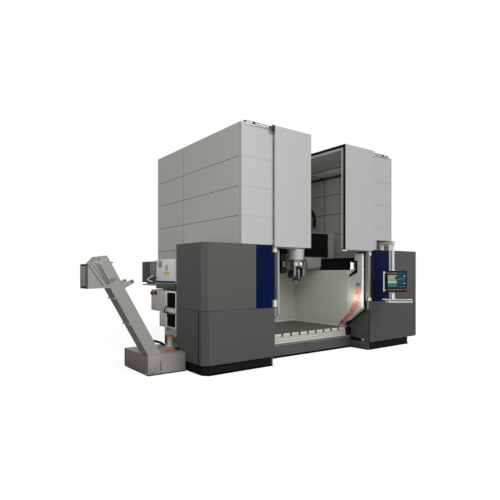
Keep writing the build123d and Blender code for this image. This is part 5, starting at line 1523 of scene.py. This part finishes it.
# %% Switch cabinets
build(
    "cabinet_grille_panels",
    unit_coat,
    (slab, (sheet_x, -0.610, 0.892), (flank_x, -0.026, 1.260), 0.002),
    (slab, (sheet_x, -0.610, 0.622), (flank_x, -0.026, 0.860), 0.002),
)
build(
    "cabinet_side_doors",
    cabinet_side_coat,
    (slab, (sheet_x, -0.016, 0.892), (flank_x, 0.578, 1.260), 0.002),
    (slab, (sheet_x, -0.016, 0.622), (flank_x, 0.205, 0.860), 0.002),
)
build("switch_plate", switch_pink, (slab, (label_x, 0.315, 1.165), (flank_x - 0.003, 0.574, 1.257), 0.001))
build("lower_grille_hood", grille_black, (slab, (-2.588, -0.404, 0.800), (flank_x, -0.113, 0.866), 0.002))
ring = [(0.0082, 0), (0.0082, 0.0035), (0.050, 0.0035), (0.052, 0.002), (0.052, 0), (0.0082, 0)]
for name, y, z in (("main_switch", 0.52, 1.205), ("valve", 0.36, 1.215)):
    place = Matrix.Translation((flank_x - 0.0054, y, z)) @ Matrix.Rotation(-math.pi / 2, 4, "Y")
    build(f"{name}_back", switch_pink, (turned, ring, place))
loop_line = [
    (-2.566, -0.130, 0.985),
    (-2.588, -0.085, 0.985),
    (-2.598, -0.070, 0.955),
    (-2.598, -0.042, 0.900),
    (-2.592, -0.060, 0.882),
    (-2.580, -0.110, 0.882),
    (-2.566, -0.140, 0.890),
]
pipe("cabinet_loop_cable", loop_line, 0.011, black_rubber)
print("switch cabinets dressed")

# %% [markdown]
# ## Light and floor
# A product photographer lights such a machine with one broad soft source from the front and a bright room
# around it. A wide sun from the front stands for the soft box, and the white world is the room. A large
# area light at the front left lifts the long side wall and the left console, as a second soft box would.
# Inside the cell a point stands for the left lamp, a narrow strip of light lets the right edge of the
# liner shine behind the hose, and a broad dim panel behind the roof doors is the light that falls through
# the crane slot onto the crossbeam and the ceiling: it is large, so that the ram never comes too near to
# it. None of these shows to the camera. The floor and the background are white to the camera and in
# mirrors: the floor's paint mixes a matt white with a little glow for camera rays only, so that it keeps a
# light contact shadow without lighting the machine from below.


# %% A helper for lights
def light(name, kind, energy, location=(0, 0, 0), aim=None, **settings):
    """A light that the camera doesn't see, aimed along a direction."""
    source = bpy.data.lights.new(name, kind)
    source.energy = energy
    for setting, value in settings.items():
        setattr(source, setting, value)
    made = show(name, source)
    made.location = location
    made.visible_camera = False
    if aim:
        made.rotation_euler = Vector(aim).to_track_quat("-Z", "Y").to_euler()
    return made


print("light helper ready")

# %% The white room
world = bpy.data.worlds.new("white_studio")
bpy.context.scene.world = world
world.use_nodes = True
world.node_tree.nodes.clear()
seen = add(world, "ShaderNodeLightPath")
all_seen = add(
    world,
    "ShaderNodeMath",
    {0: seen.outputs["Is Camera Ray"], 1: seen.outputs["Is Transmission Ray"]},
    operation="MAXIMUM",
)
room_light = 0.58
level = add(world, "ShaderNodeMapRange", {"Value": all_seen.outputs[0], "To Min": room_light, "To Max": 1.0})
sky = add(world, "ShaderNodeBackground", {"Color": (1, 1, 1, 1), "Strength": level.outputs[0]})
add(world, "ShaderNodeOutputWorld", {"Surface": sky.outputs[0]})

print("room lit")

# %% Lights of the studio and the cell
light("soft_box", "SUN", 1.62, aim=(-0.25, 0.80, -0.55), angle=math.radians(35))
fill_place, lit_middle = Vector((-5.5, -6.5, 4.2)), Vector((-1.0, 0.0, 2.2))
light("front_left_fill", "AREA", 132, fill_place, lit_middle - fill_place, shape="SQUARE", size=2.5)
light("left_work_lamp_glow", "POINT", 3, (-0.80, -1.43, 1.60), shadow_soft_size=0.05)
slot_size = {"shape": "RECTANGLE", "size": 1.6, "size_y": 0.9}
light("crane_slot_light", "AREA", 4.6, (0.25, -1.36, 2.75), (0.10, 1.0, 0.10), **slot_size)
strip_size = {"shape": "RECTANGLE", "size": 0.04, "size_y": 0.60}
edge_glow = light("right_edge_glow", "AREA", 0.85, (0.93, -1.50, 1.08), **strip_size)
edge_glow.rotation_euler = (0, math.radians(-90), 0)
print("five lights placed")

# %% White floor
floor_mesh = bpy.data.meshes.new("studio_floor")
bm = bmesh.new()
bmesh.ops.create_grid(bm, x_segments=1, y_segments=1, size=60, matrix=Matrix.Translation((0, 0, -0.001)))
bm.to_mesh(floor_mesh)
bm.free()
studio_floor = show("studio_floor", floor_mesh)

floor_white = bpy.data.materials.new("white_floor")
floor_white.use_nodes = True
floor_white.node_tree.nodes.clear()
seen = add(floor_white, "ShaderNodeLightPath").outputs["Is Camera Ray"]
paint = add(floor_white, "ShaderNodeMapRange", {"Value": seen, "To Min": 0.3, "To Max": 0.85})
matt = add(floor_white, "ShaderNodeBsdfDiffuse", {"Color": paint.outputs[0]})
glow = add(floor_white, "ShaderNodeEmission", {"Color": (1, 1, 1, 1), "Strength": 1.3})
share = add(floor_white, "ShaderNodeMath", {0: seen, 1: 0.6}, operation="MULTIPLY")
mix = add(floor_white, "ShaderNodeMixShader", {0: share.outputs[0], 1: matt.outputs[0], 2: glow.outputs[0]})
add(floor_white, "ShaderNodeOutputMaterial", {"Surface": mix.outputs[0]})
floor_mesh.materials.append(floor_white)
bpy.context.scene.view_settings.view_transform = "Standard"
print("studio lit")
